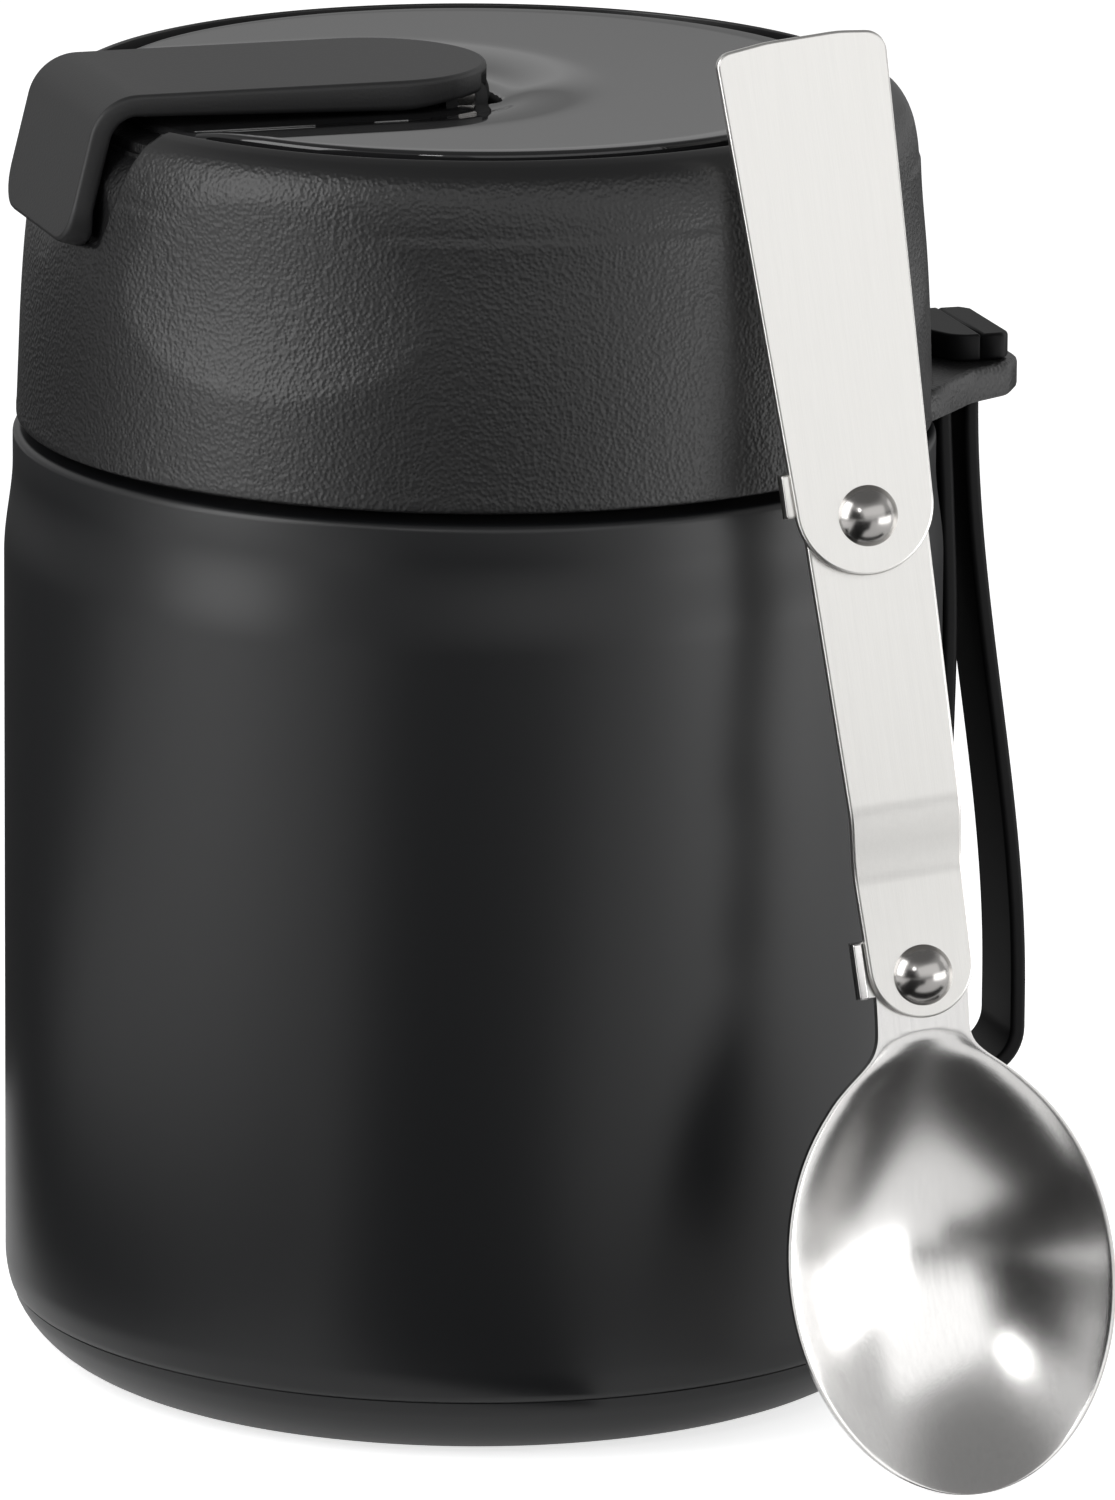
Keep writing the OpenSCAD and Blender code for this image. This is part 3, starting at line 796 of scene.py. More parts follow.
# how far the side leans in (height over the lid's foot, distance in)
LID_SIDE = [
    (0.3, 0.0), (6.0, 0.22), (11.8, 0.45), (17.3, 0.8), (24.0, 1.4), (28.5, 1.62), (36.0, 1.7),
]
# the rounded top edge, as (radius, height) off the lid's own radius and top
RIM_LINE = [
    (-1.75, -7.4), (-1.9, -5.9), (-2.2, -4.3), (-2.5, -3.3), (-2.95, -2.3), (-3.55, -1.4),
    (-4.35, -0.68), (-5.0, -0.3),
]
RECESS_FLOOR = LEVER_LOW - 0.5
RECESS_BACK = LID_R - 4.3


def scoop_radius(turn, z):
    """Distance from the axis to the nearest scoop's surface, or None past its ends."""
    dz = z - SCOOP_Z
    if abs(dz) > SCOOP_REACH:
        return None
    half = 180 / SCOOPS
    off = math.radians(turn % (2 * half) - half)
    middle = LID_R - SCOOP_IN - SCOOP_DEPTH - SCOOP_FLAT
    reach = SCOOP_FLAT + SCOOP_DISH - math.sqrt(SCOOP_DISH**2 - min(dz, 0) ** 2)
    return middle * math.cos(off) + math.sqrt(reach**2 - (middle * math.sin(off)) ** 2)


def soft_least(a, b, blend=0.12):
    """The smaller of two lengths, with their corner softened."""
    share = max(0.0, min(1.0, 0.5 + 0.5 * (b - a) / blend))
    return mix(b, a, share) - blend * share * (1 - share)


def casing_profile():
    """(radius, height) points of the casing's section, from the lower inner edge up the side,
    over the rim and down into the groove."""
    side_low = LID_LOW + 1.2
    points = rounded(
        [(CASING_IN, LID_LOW + 0.3), (CASING_IN, LID_LOW, 0.3), (LID_R, LID_LOW, 0.5),
         (LID_R, side_low)], closed=False, step=15,
    )
    side_top = LID_TOP + RIM_LINE[0][1]
    steps = 58
    for k in range(1, steps):
        z = mix(side_low, side_top, k / steps)
        points.append((LID_R - smooth_at(LID_SIDE, z - LID_LOW), z))
    out = [(i, point[0]) for i, point in enumerate(RIM_LINE)]
    rise = [(i, point[1]) for i, point in enumerate(RIM_LINE)]
    finer = 4
    for k in range(finer * (len(RIM_LINE) - 1) + 1):
        at = k / finer
        points.append((LID_R + smooth_at(out, at), LID_TOP + smooth_at(rise, at)))
    rim = rounded(
        [points[-1], (GROOVE_R, LID_TOP, 0.22), (GROOVE_R - 0.1, GROOVE_Z, 0.2),
         (PLATE_R + 0.15, GROOVE_Z)], closed=False, step=12,
    )
    return points + rim[1:]


def recess_path():
    """(distance from the axis, height) points down the lever's recess in the rim."""
    return rounded(
        [
            (LID_R - 1.0, RECESS_FLOOR - 2.5),
            (LID_R - 1.4, RECESS_FLOOR, 0.8),
            (RECESS_BACK + 0.2, RECESS_FLOOR + 0.8, 1.2),
            (RECESS_BACK, CHANNEL_Z - 3.0, 2.0),
            (RECESS_BACK - 2.6, CHANNEL_Z, 1.2),
            (PLATE_R + 0.15, CHANNEL_Z),
        ],
        closed=False,
    )


def along(path, share):
    """Point at a share of a path's length."""
    spans = [(Vector(b) - Vector(a)).length for a, b in zip(path, path[1:])]
    rest = share * sum(spans)
    for (a, b), span in zip(zip(path, path[1:]), spans):
        if rest <= span:
            return Vector(a).lerp(Vector(b), rest / max(span, 1e-9))
        rest -= span
    return Vector(path[-1])


def casing_angles():
    """Angles from -X, in degrees, finest where the recess has its sides."""
    angles = []
    a = 0.0
    while a < 180 - 1e-6:
        angles.append(a)
        a += 0.2 if 14.5 < a < 23.5 else (0.75 if a < 30 else 1.0)
    angles.append(180.0)
    return angles + [360 - a for a in angles[-2:0:-1]]


def lid_casing():
    """Grained outer shell of the lid, with its scoops, the lever's recess and the strap's shelf."""
    profile = casing_profile()
    path = recess_path()
    low_z = path[0][1]
    first = next(i for i, p in enumerate(profile) if p[1] >= low_z)
    lengths = [0.0]
    for a, b in zip(profile[first:], profile[first + 1:]):
        lengths.append(lengths[-1] + (Vector(b) - Vector(a)).length)
    targets = {first + i: along(path, span / lengths[-1]) for i, span in enumerate(lengths)}
    inside = [(PLATE_R + 0.15, PLATE_LOW), (CAP_R, PLATE_LOW), (CAP_R, SEAT_Z), (CASING_IN, SEAT_Z)]
    soft = 2.0
    rows = []
    for i, (r, z) in enumerate(profile + inside):
        row = []
        for angle in casing_angles():
            turn = math.radians(angle)
            reach = r
            scoop = scoop_radius(angle, z)
            if scoop and r > CASING_IN - 0.5 and LID_LOW + 1.2 < z < LID_TOP - 3:
                reach = soft_least(r, scoop)
            place = Vector((-reach * math.cos(turn), -reach * math.sin(turn), z))
            if i in targets and math.cos(turn) > 0:
                goal = targets[i]
                rise = ease((z - RECESS_FLOOR) / (LID_TOP - RECESS_FLOOR))
                edge = mix(RECESS_HALF_LOW, RECESS_HALF_TOP, rise)
                share = 1 - ease((abs(place.y) - edge + soft / 2) / soft)
                flush = math.sqrt(max(0.0, reach**2 - place.y**2))
                place = place.lerp(Vector((-min(goal.x, flush), place.y, goal.y)), share)
            row.append(place)
        rows.append(row)
    casing = from_grid("lid_casing", rows, FINISH["casing"], closed=True, wrap=True, crease=50)
    shelf = prism("shelf", bracket_outline(), SHELF_LOW, SHELF_TOP, FINISH["casing"], bevel=0.7)
    whole = join("lid_casing", casing, shelf)
    hand_over(whole, "lid", "lid_plastic", "lid_shell")


def bracket_outline():
    """Plan of the strap's shelf, whose root runs into the casing."""
    end = 57.0
    half = [(end, 4.6, 2.2), (55.0, 8.0, 3.5), (50.2, 10.7, 4.0), (46.4, 14.8, 8.0), (38.5, 23.0)]
    return both_sides(half)


# slope of the disc against the distance from the lever's middle line: level under the lever,
# then gently up to the flat
TROUGH_SLOPE = [
    (0.0, 0.0), (13.0, 0.0), (14.0, 0.04), (15.0, 0.12), (16.2, 0.19), (17.5, 0.16),
    (20.0, 0.07), (22.5, 0.03), (24.5, 0.0),
]
# distances from that line with a row of points, closest where the slope changes most
TROUGH_ROWS = [
    0, 5, 9, 11.4, 12.0, 12.2, 12.4, 12.8, 13.4, 14.0, 14.3, 14.6, 15.0, 15.4, 15.8, 16.2, 16.8,
    17.5, 18.5, 20.0, 21.2, 22.5, 23.5, 24.5,
]


def trough_levels(step):
    """Heights over the trough's floor, one at each step away from the lever's middle line."""
    levels = [0.0]
    for k in range(round(TROUGH_ROWS[-1] / step)):
        levels.append(levels[-1] + smooth_at(TROUGH_SLOPE, (k + 0.5) * step) * step)
    return levels


def vent_bore(radius, low, high, finish, steps):
    """Closed rod along the vent, to be cut out of a piece."""
    rod = [(0, low), (radius, low), (radius, high), (0, high)]
    return shift(sweep("bore", rod, FINISH[finish], steps), VENT_X)


def gloss_disc():
    """The gloss plate, with a soft-sided trough round the lever and a pocket over its pin."""
    edge = 0.6
    outer_shares = [0.08, 0.2, 0.4, 0.6, 0.78, 0.9]
    edge_drops = [1.0, 0.8, 0.55, 0.35, 0.2, 0.08, 0.0]
    step = 0.05
    levels = trough_levels(step)

    def height(away):
        place = min(away, TROUGH_ROWS[-1]) / step
        k = min(int(place), len(levels) - 2)
        return PLATE_TOP - levels[-1] + mix(levels[k], levels[k + 1], place - k)

    runs = 56
    run_x = [mix(NOSE_X, -PLATE_R, (k / runs) ** 0.9) for k in range(1, runs + 1)]
    turns = [math.radians(a) for a in range(-90, 91, 3)]
    columns = [(Vector((x, 0)), Vector((0, -1))) for x in reversed(run_x)]
    columns += [(Vector((NOSE_X, 0)), Vector((math.cos(a), math.sin(a)))) for a in turns]
    columns += [(Vector((x, 0)), Vector((0, 1))) for x in run_x]
    grid = []
    for start, heading in columns:
        ahead = start.dot(heading)
        room = math.sqrt(max(0.0, ahead**2 + PLATE_R**2 - start.length_squared)) - ahead
        places = [min(away, max(0.0, room - edge)) for away in TROUGH_ROWS]
        last = places[-1]
        places += [mix(last, max(last, room - edge), share) for share in outer_shares]
        last = places[-1]
        places += [max(last, room - edge * drop) if room > edge else room for drop in edge_drops]
        points = []
        for away in places:
            place = start + heading * away
            gap = max(0.0, PLATE_R - place.length)
            rim = edge - math.sqrt(max(0.0, edge**2 - (edge - min(gap, edge)) ** 2))
            points.append(Vector((place.x, place.y, height(away) - rim)))
        points.append(Vector((points[-1].x, points[-1].y, PLATE_LOW)))
        points.append(Vector((0, 0, PLATE_LOW)))
        grid.append(points)
    disc = from_grid("gloss_disc", grid, FINISH["gloss"], crease=30)
    left, right, side, corner = PIVOT_X - 3.7, PIVOT_X + 3.6, 8.7, 2.0
    line = both_sides([(left, side), (right, side, corner)])
    pocket = prism("pocket", line, PLATE_LOW - 1, PLATE_TOP + 5, FINISH["gloss"], bevel=0.01)
    bore = vent_bore(3.9, 120, 140, "gloss", 64)
    hand_over(cut(disc, pocket, bore), "lid", "plate_gloss", "lid_plate")


def stopper():
    """Closed cup under the lid, the flange plate that closes it and the seal on the flange."""
    cup_low, cup_high = size("stopper_cup")
    cup_r = cup_high.x
    flange_low, flange_top = size("stopper_cover")[0].z, size("stopper_cover")[1].z
    flange_r = size("stopper_cover")[1].x
    cup = rounded([(0, cup_low.z), (cup_r, cup_low.z, 2.0), (cup_r, flange_low), (0, flange_low)])
    body = cut(sweep("stopper_body", cup, FINISH["inner"]), vent_bore(1.6, 90, 130, "inner", 48))
    hand_over(body, "lid", "stopper_plastic", "stopper_cup", "stopper_foam")
    plate = rounded(
        [(0, flange_low), (flange_r, flange_low, 0.3), (flange_r, flange_top, 0.3), (0, flange_top)]
    )
    flange = sweep("stopper_flange", plate, FINISH["inner"])
    hand_over(flange, "lid", "stopper_plastic", "stopper_cover")
    inner = cup_r + 0.1
    seal = rounded(
        [
            (inner, RIM_Z - 1.2, 0.3),
            (MOUTH_R - 0.2, RIM_Z - 1.2, 0.4),
            (MOUTH_R - 0.2, RIM_Z + 0.1, 0.2),
            (flange_r - 0.1, RIM_Z + 0.1, 0.5),
            (flange_r - 0.1, flange_low - 0.05, 0.5),
            (inner, flange_low - 0.05, 0.2),
        ]
    )
    gasket = ring("stopper_seal", seal, FINISH["grey silicone"])
    hand_over(gasket, "gasket", "silicone_grey", "lid_gasket")


def vent_parts():
    """Seat in the disc, and the stopple under the lever that closes it."""
    top = CHANNEL_Z + 0.2
    low = PLATE_LOW - 1.7
    sleeve = rounded(
        [(1.6, low), (3.85, low), (3.85, top, 0.25), (2.2, top, 0.2), (1.6, top - 0.6, 0.1)]
    )
    seat = shift(ring("vent_seat", sleeve, FINISH["grey silicone"], steps=64), VENT_X)
    hand_over(seat, "lid", "silicone_grey", "vent_sleeve")
    under = LEVER_TOP - LEVER_T
    plug_line = rounded(
        [(0, top - 0.5), (0.9, top - 0.5, 0.2), (1.7, top + 0.3, 0.1), (3.0, top + 0.3, 0.3),
         (3.0, under + 0.1), (0, under + 0.1)]
    )
    plug = shift(sweep("vent_stopple", plug_line, FINISH["grey silicone"], steps=64), VENT_X)
    hand_over(plug, "lever", "silicone_grey", "vent_plug")


# ---------- lever ----------


def lever():
    """Flat slab with a round nose, whose far end is bent down over the rim as a thumb tab."""
    half = LEVER_W / 2
    lean = math.radians(76)
    bend_len = lean * BEND_R
    tab_top = LEVER_TOP - BEND_R + BEND_R * math.cos(lean)
    tab_len = (tab_top - LEVER_LOW) / math.sin(lean) - 0.1
    straight = NOSE_X - BEND_X
    end = straight + bend_len + tab_len
    corner = 4.0
    # flat outline: s runs along the slab from the nose circle's middle, t across it
    outline = arc(0, 0, half, 90, 270, 48)
    outline += [(end - corner, -half)]
    outline += arc(end - corner, -half + corner, corner, -90, 0, 8)[1:]
    outline += arc(end - corner, half - corner, corner, 0, 90, 8)
    bends = []
    s = straight - 0.4
    while s < end:
        bends.append(s)
        s += 0.45 if s < straight + bend_len + 0.5 else 0.8
    cuts = [((s, 0, 0), (1, 0, 0)) for s in bends + [-2, -4, -6, -8]]

    def bent(co):
        s, t, depth = co
        lip = 0.9 * ease((s - end + 4.5) / 4.0)
        skirt = SKIRT * (1 - ease((s - straight + 9) / 10)) * (1 - 0.55 * ease(-s / 7))
        depth = depth * (1 + (lip + skirt) / LEVER_T)
        if s <= straight:
            return Vector((NOSE_X - s, t, LEVER_TOP - depth))
        angle = min((s - straight) / BEND_R, lean)
        out = Vector((-math.sin(angle), math.cos(angle)))
        place = Vector((BEND_X, LEVER_TOP - BEND_R)) + out * (BEND_R - depth)
        past_bend = s - straight - bend_len
        if past_bend > 0:
            place += Vector((-out.y, out.x)) * past_bend
        return Vector((place.x, t, place.y))

    slab = prism("vent_lever", outline, 0, LEVER_T, FINISH["lever"], bevel=0.45, move=bent, cuts=cuts)
    # over the pin's posts the nose is only a thin skin
    skin = 0.95
    near_x, far_x = PIVOT_X - 3.6, 3.0
    rooms = []
    for near, far in ((-6.75, -4.2), (4.2, 6.75)):
        room = [(near_x, near), (far_x, near), (far_x, far), (near_x, far)]
        rooms.append(
            prism("room", room, LEVER_TOP - 8, LEVER_TOP - skin, FINISH["lever"], bevel=0.01)
        )
    cut(slab, *rooms)
    knuckle_line = arc(PIVOT_X, PIVOT_Z, 3.15, 60, -210, 30)
    upright = Matrix(((1, 0, 0), (0, 0, 1), (0, 1, 0))).to_4x4()
    knuckle = prism("knuckle", knuckle_line, -4.15, 4.15, FINISH["lever"], bevel=0.2, move=upright)
    hand_over(join("vent_lever", slab, knuckle), "lever", "lever_plastic", "vent_lever")


# ---------- strap ----------


def strap_heads():
    """The strap's two rolled ends, side by side on the shelf."""
    low = SHELF_TOP + 0.05
    split_x = size("strap_head_inner")[1].x
    outer_end = size("strap_head_outer")[1].x
    inner_end = size("strap_head_inner")[0].x
    half = size("strap_head_outer")[1].y
    outer_line = both_sides(
        [(split_x + 0.07, half), (outer_end - 0.9, half, 0.8), (outer_end, half - 1.2, 0.8)]
    )
    outer = prism("strap_head_outer_cap", outer_line, low, HEAD_TOP, FINISH["strap"], bevel=0.45)
    hand_over(outer, "lid", "silicone_black", "strap_head_outer")
    inner_line = both_sides(
        [(split_x, half, 0.3), (inner_end + 2.2, half, 2.8), (inner_end, half * 0.35, 3.0)]
    )
    inner = prism("strap_head_inner_cap", inner_line, low, HEAD_TOP, FINISH["strap"], bevel=0.45)
    hand_over(inner, "lid", "silicone_black", "strap_head_inner")


def strap_path():
    """Centre line (x, z) of the hanging loop, from the outer head down and up to the inner."""
    outer_x = size("strap_head_outer")[0].x + 0.3
    top = SHELF_LOW + 0.6
    bend_r = (LOOP_OUT - LOOP_IN) / 2
    bend_z = LOOP_LOW + bend_r
    middle_x = LOOP_OUT - bend_r
    reach = LOOP_OUT - STRAP_T / 2
    leave_z, meet_z = 98, LOOP_LOW + 9
    outer = []
    steps = 40
    for k in range(steps + 1):
        z = mix(top, bend_z, k / steps)
        share = (leave_z - z) / (leave_z - meet_z)
        outer.append((mix(outer_x, reach, ease(share)), z))
    bend = arc(middle_x, bend_z, bend_r - STRAP_T / 2, 0, -180, 24)[1:-1]
    inner_knots = [(bend_z, 0.0), (56, 0.6), (74, 0.95), (88, 0.4), (LOOP_TOP, 0.0), (top, 0.0)]
    inner = []
    for k in range(steps + 1):
        z = mix(bend_z, top, k / steps)
        inner.append((LOOP_IN + STRAP_T / 2 + smooth_at(inner_knots, z), z))
    return outer + bend + inner


def strap():
    """Flat band with rounded edges along the loop's centre line."""
    path = [Vector(p) for p in strap_path()]
    wide, thick, edge = STRAP_W / 2, STRAP_T / 2, 0.55
    section = rounded(
        [(-wide, -thick, edge), (wide, -thick, edge), (wide, thick, edge), (-wide, thick, edge)]
    )
    rows = []
    for i, here in enumerate(path):
        heading = (path[min(i + 1, len(path) - 1)] - path[max(i - 1, 0)]).normalized()
        out = Vector((heading.y, -heading.x))
        rows.append([Vector((here.x + out.x * b, a, here.y + out.y * b)) for a, b in section])
    band = from_grid("carry_strap", rows, FINISH["strap"], wrap=True, capped=True, crease=50)
    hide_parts("strap_loop")
    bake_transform(band)


# ---------- spoon ----------

PLATE_T = 1.2
JOGGLE = 2.4
STACK_GAP = 0.05
LINK_FRONT = 0.0
NECK_FRONT = PLATE_T + STACK_GAP
LINK_UP_FRONT = -JOGGLE
HANDLE_FRONT = -JOGGLE - PLATE_T - STACK_GAP
BOWL_W = 33.6
BOWL_L = 44.8
BOWL_DEPTH = 7.6
BOWL_X = -0.9
BOWL_DROP = 30
NECK_R = 5.2
# half width of the neck (height over the lower rivet, half width), from the bowl up
NECK_LINE = [
    (-13.4, 11.31), (-11.4, 9.55), (-9.9, 7.9), (-8.7, 6.45), (-7.6, 5.4), (-6.4, 4.88),
    (-5.2, 4.75), (2.1, 4.76),
]
# the hollow's upper edge, which dips towards its two ends, and how full the hollow is
HOLLOW_TOP = -5.9
HOLLOW_DIP = 0.9
HOLLOW_HALF = 4.7
HOLLOW_CURVE = 1.1
RIM_T = 0.35
# puts a plate's (right, up, thickness) on the spoon's own axes
FLAT_TO_SPOON = SPOON @ Matrix(((1, 0, 0), (0, 0, 1), (0, 1, 0))).to_4x4()


def own_box(node):
    """Lowest and highest corner of a spoon node along the spoon's own axes."""
    back = SPOON.inverted()
    corners = [back @ (v.co / MM) for v in frame["nodes"][node].data.vertices]
    low = Vector([min(c[i] for c in corners) for i in range(3)])
    high = Vector([max(c[i] for c in corners) for i in range(3)])
    return low, high


def spoon_handle():
    """Long plate that widens upwards, round at the rivet and nearly square at its top."""
    low, high = own_box("spoon_handle")
    half = (high.x - low.x) / 2 + 0.1
    low_r = 7.1
    corner = 2.2
    centre = LINK_L + 1.2
    slope = math.degrees(math.atan2(half - low_r, high.z - centre))
    aside = -0.15
    outline = arc(aside, centre, low_r, -180 - slope, slope, 40)
    right, left = half + aside, -half + aside
    crown = [(0.45 * right, high.z, 12.0), (0.4 * left, high.z - 0.12, 12.0)]
    outline += rounded(
        [outline[-1], (right, high.z - 0.6, corner), *crown, (left, high.z - 0.75, 1.6), outline[0]],
        closed=False,
    )[1:-1]
    piece = prism(
        "handle_plate", outline, HANDLE_FRONT, HANDLE_FRONT + PLATE_T, FINISH["spoon"], 0.28,
        FLAT_TO_SPOON,
    )
    hand_over(piece, "handle", "spoon_steel", "spoon_handle")


def stop_ear(x, root, reach, front, low, high, finish):
    """Small ear, bent forward beside the plate in front of it, and the foot that carries it."""
    back = front + PLATE_T
    outline = rounded([(reach, low, 0.3), (back, low, 0.3), (back, high, 0.3), (reach, high, 0.3)])
    sideways = SPOON @ Matrix(((0, 0, 1), (1, 0, 0), (0, 1, 0))).to_4x4()
    flap = prism("stop", outline, x, x + 0.9, finish, 0.15, sideways)
    sole = [(x, low), (root, low), (root, high), (x, high)]
    return flap, prism("foot", sole, front + 0.1, back, finish, 0.15, FLAT_TO_SPOON)


def spoon_link():
    """Middle plate, whose joggle brings its upper end in front of its lower one."""
    low_r, high_r = 5.4, 6.35
    joggle_low, joggle_len = 9.8, 7.9
    bottom = arc(0, 1.1, low_r, -178.8, -1.2, 30)
    top = arc(0, LINK_L, high_r, -1.2, 181.2, 30)
    rows = (9.5, 10.3, 11, 11.7, 12.5, 13.7, 15, 15.8, 16.5, 17.2, 18)
    cuts = [((0, z, 0), (0, 1, 0)) for z in rows]

    def joggled(co):
        x, up, back = co
        step = JOGGLE * ease((up - joggle_low) / joggle_len)
        return FLAT_TO_SPOON @ Vector((x, up, back - step))

    plate = prism(
        "link_plate", bottom + top, LINK_FRONT, LINK_FRONT + PLATE_T, FINISH["spoon"], 0.28, joggled,
        cuts,
    )
    low = LINK_L + 0.8
    ear = stop_ear(-8.1, -5.35, LINK_UP_FRONT - 0.7, LINK_UP_FRONT, low, low + 4.4, FINISH["spoon"])
    hand_over(join("link_plate", plate, *ear), "link", "spoon_steel", "spoon_link")


def bowl_half_width(z):
    """Half width of the bowl and neck at height z over the lower rivet."""
    if z > NECK_LINE[-1][0]:
        return math.sqrt(max(0.0, NECK_R**2 - z**2))
    off = (z + BOWL_DROP) / (BOWL_L / 2)
    oval = BOWL_W / 2 * math.sqrt(max(0.0, 1 - off * off))
    return oval if z < NECK_LINE[0][0] else smooth_at(NECK_LINE, z)


def hollow(x, z, half):
    """Depth of the bowl's hollow at (x, z), where the outline is half wide."""
    start = HOLLOW_TOP - HOLLOW_DIP * (x / HOLLOW_HALF) ** 2
    if z >= start or half <= 0:
        return 0.0
    off = (z + BOWL_DROP) / (start + BOWL_DROP if z > -BOWL_DROP else BOWL_L / 2)
    across = min(1.0, abs(x) / max(half - RIM_T, 0.01))
    level = BOWL_DEPTH * max(0.0, 1 - off * off) ** HOLLOW_CURVE
    return level * max(0.0, 1 - across * across) ** HOLLOW_CURVE


def spoon_bowl():
    """Oval bowl and its neck: a hollow front and a back that follows it at the wall's thickness."""
    top, bottom = NECK_R, -BOWL_DROP - BOWL_L / 2
    count, columns = 170, 52
    bowl_wall = 0.9
    grid = []
    for j in range(count + 1):
        z = mix(top, bottom, 0.5 - 0.5 * math.cos(math.pi * j / count))
        half = bowl_half_width(z)
        centre = BOWL_X * ease(-z / 12)
        wall = mix(bowl_wall, PLATE_T, ease((z + 14) / 6))
        front, back = [], []
        for i in range(columns + 1):
            x = half * math.sin(math.pi * (i / columns - 0.5))
            deep = NECK_FRONT + hollow(x, z, half)
            front.append(SPOON @ Vector((centre + x, deep, z)))
            back.append(SPOON @ Vector((centre + x, deep + wall, z)))
        grid.append(front + back[::-1])
    bowl = from_grid("spoon_scoop", grid, FINISH["bowl"], wrap=True, crease=50)
    ear = stop_ear(-6.6, -3.75, LINK_FRONT + 0.5, NECK_FRONT, -1.6, 4.1, FINISH["bowl"])
    hand_over(join("spoon_scoop", bowl, *ear), "bowl", "spoon_steel", "spoon_bowl")


def rivet(name, up, front, back, body, node):
    """Domed rivet through the plates between two depths."""
    dome_r, dome_h, shank_r, tail_r, tail_t = 3.05, 1.75, 1.5, 2.5, 0.75
    ball = (dome_r**2 + dome_h**2) / (2 * dome_h)
    spans = [math.asin(dome_r / ball) * k / 16 for k in range(17)]
    line = [(ball * math.sin(a), ball - dome_h - ball * math.cos(a)) for a in spans]
    tail = back - front
    line += [(shank_r, 0.0), (shank_r, tail), (tail_r, tail)]
    line += [(tail_r, tail + tail_t), (0, tail + tail_t)]
    piece = sweep(name, line, FINISH["dome"], steps=64, crease=40)
    turn = SPOON @ Matrix.Translation((0, front, up)) @ Matrix.Rotation(math.radians(-90), 4, "X")
    piece.data.transform(Matrix.Scale(MM, 4) @ turn @ Matrix.Scale(1 / MM, 4))
    hand_over(piece, body, "rivet_steel", node)


# ---------- stage ----------


# name, azimuth from the front towards the right, distance, height over the floor, width, height
# of the box, brightness
LAMPS = (
    ("left soft box", -77, 0.42, 0.25, 0.22, 0.4, 4.6),
    ("right soft box", 98, 0.42, 0.15, 0.3, 0.3, 0.9),
    ("low right box", 52, 0.38, 0.05, 0.3, 0.1, 3.4),
    ("front right panel", 20, 0.8, 0.36, 1.2, 0.56, 0.82),
    ("upper left spot", -31, 0.8, 0.52, 0.1, 0.1, 14.0),
)
LAMP_AIM = Vector((0, 0, 0.07))
FLOOR = [(-3, -3), (3, -3), (3, 3), (-3, 3)]
# name and corners (x, y) of the black cards that lie on the floor
CARD_Z = 0.003
CARDS = (
    ("card before the spoon", [(-0.02, -0.102), (0.12, -0.102), (0.12, -0.072), (-0.02, -0.072)]),
    ("card at the front", [(-0.78, -0.93), (0.13, -0.93), (0.03, -0.2), (0, -0.16), (0, -0.05),
                           (-0.06, -0.06)]),
    ("card on the left", [(-0.13, -0.1), (-0.06, -0.06), (-0.06, 0.1), (-0.13, 0.1)]),
    ("card behind", [(-0.9, 0.1), (0.9, 0.1), (0.9, 0.89), (-0.9, 0.89)]),
)


def ray(graph, kind):
    """1 for rays of one kind and 0 for the others."""
    return graph.node("ShaderNodeLightPath", {}, {}, out=kind)


def within(value, low, high, soft):
    """1 where the value lies between two limits, fading over a soft edge."""
    return ((value - low) / soft).least((high - value) / soft).least(1).most(0)


def reflected_room(graph):
    """Brightness that reflections see: a dim room, lighter at half height, with a dark gap low
    down at the front left."""
    way = graph.node("ShaderNodeTexCoord", {}, {}, out="Generated")
    east, north, rise = (graph.axis(way, name) for name in "XYZ")
    azimuth = east.math("ARCTAN2", east, 0 - north) * (180 / math.pi)
    slant = rise.math("ARCSINE", rise) * (180 / math.pi)
    back = graph.node(
        "ShaderNodeValToRGB",
        {"stops": [(0.0, 0.3), (1.0, 0.25), (0.17, 0.3), (0.23, 0.68), (0.6, 0.68), (0.8, 0.25)]},
        {"Fac": rise},
    )
    gap = within(azimuth, -64, -26, 5) * ((30 - slant) / 8).least(1).most(0)
    return back + gap * (0.03 - back)


def studio():
    """White surroundings for the camera, an even soft light, and a dim room in reflections."""
    scene = bpy.context.scene
    scene.view_settings.view_transform = "Standard"
    scene.world = bpy.data.worlds.new("white studio")
    graph = empty_graph(scene.world)
    soft, white = 0.5, 1.05
    plain = (ray(graph, "Is Camera Ray") + ray(graph, "Is Transmission Ray")).least(1)
    mirrored = ray(graph, "Is Glossy Ray") * (reflected_room(graph) - soft)
    strength = soft + plain * (white - soft) + mirrored
    sky = graph.node("ShaderNodeBackground", {}, {"Color": (1, 1, 1, 1), "Strength": strength})
    graph.node("ShaderNodeOutputWorld", {}, {"Surface": sky})


def paper_glow(graph, colour, roughness):
    """The white that the camera and, more dimly, reflections see on the floor."""
    glow = ray(graph, "Is Camera Ray") * 0.7 + ray(graph, "Is Glossy Ray") * 0.3
    return {"Emission Color": (1, 1, 1, 1), "Emission Strength": glow}


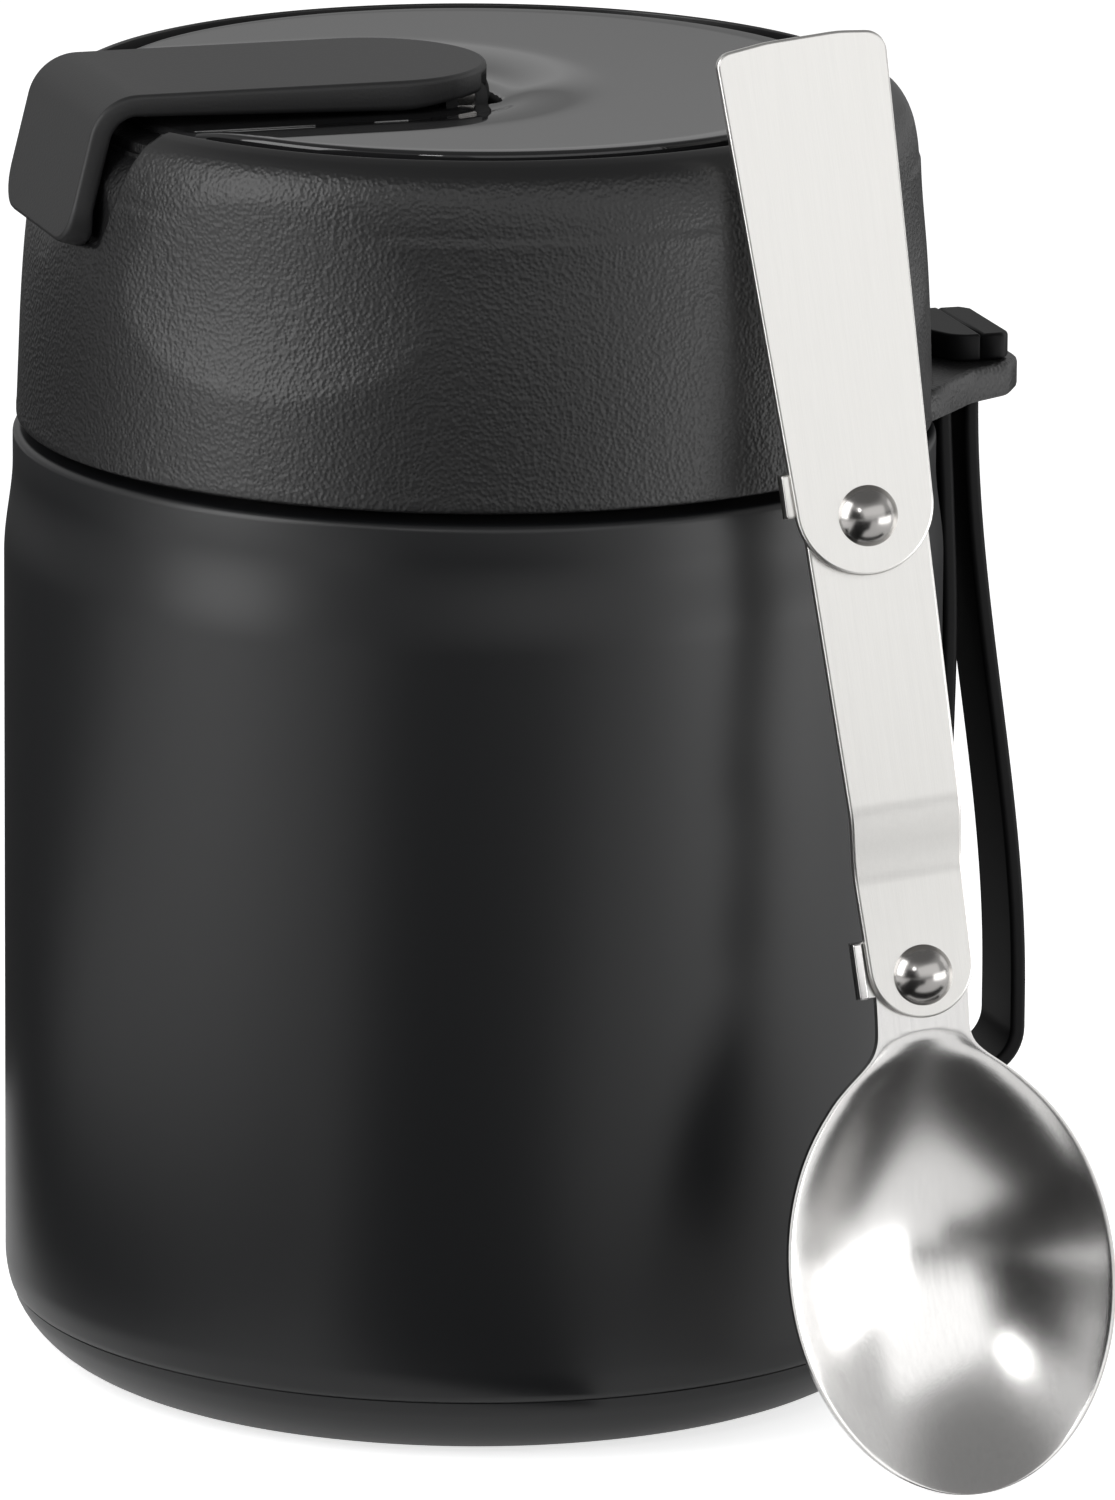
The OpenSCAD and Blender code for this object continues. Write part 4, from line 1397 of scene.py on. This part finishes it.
def sheet(name, corners, z, finish):
    """Flat sheet of the stage, through corners (x, y)."""
    mesh = bpy.data.meshes.new(name)
    mesh.from_pydata([(x, y, z) for x, y in corners], [], [range(len(corners))])
    mesh.materials.append(finish)
    laid = linked(name, mesh)
    return laid


def floor_and_cards():
    """White floor, and black cards on it that only reflections see."""
    paper = material("white paper", (0.8, 0.8, 0.8), 0.9, specular=0.1, looks=paper_glow)
    sheet("floor", FLOOR, 0, paper)
    black = material("black card", (0.01, 0.01, 0.01), 0.5, specular=0.1)
    for name, corners in CARDS:
        card = sheet(name, corners, CARD_Z, black)
        card.visible_camera = False
        card.visible_diffuse = False
        card.visible_shadow = False


def lamps():
    """Soft boxes round the jar, turned to face its middle and hidden from the camera."""
    for name, azimuth, away, z, wide, tall, level in LAMPS:
        lamp = bpy.data.lights.new(name, "AREA")
        lamp.shape = "RECTANGLE"
        lamp.size = wide
        lamp.size_y = tall
        lamp.energy = level * math.pi * wide * tall
        box = linked(name, lamp)
        box.visible_camera = False
        turn = math.radians(azimuth)
        box.location = Vector((away * math.sin(turn), -away * math.cos(turn), z))
        box.rotation_euler = (LAMP_AIM - box.location).to_track_quat("-Z", "Y").to_euler()


def camera():
    """Long lens at the front left, looking down on the jar."""
    lens = bpy.data.cameras.new("camera")
    lens.sensor_width = 36
    lens.lens = 337.34
    lens.clip_end = 20
    eye = linked("camera", lens)
    turn, drop, roll = math.radians(-17.5), math.radians(13.88), math.radians(0.425)
    spin = (
        Matrix.Rotation(turn, 4, "Z")
        @ Matrix.Rotation(math.pi / 2 - drop, 4, "X")
        @ Matrix.Rotation(roll, 4, "Z")
    )
    eye.matrix_world = Matrix.Translation((-0.41267, -1.3378, 0.4088)) @ spin
    bpy.context.scene.camera = eye


# ---------- making ----------

camera()
studio()
floor_and_cards()
lamps()
jar_body()
jar_neck()
lid_casing()
gloss_disc()
stopper()
vent_parts()
lever()
strap_heads()
strap()
spoon_handle()
spoon_link()
spoon_bowl()
rivet("upper_rivet", LINK_L, HANDLE_FRONT, LINK_UP_FRONT + PLATE_T, "link", "handle_rivet")
rivet("lower_rivet", 0.0, LINK_FRONT, NECK_FRONT + PLATE_T, "bowl", "bowl_rivet")
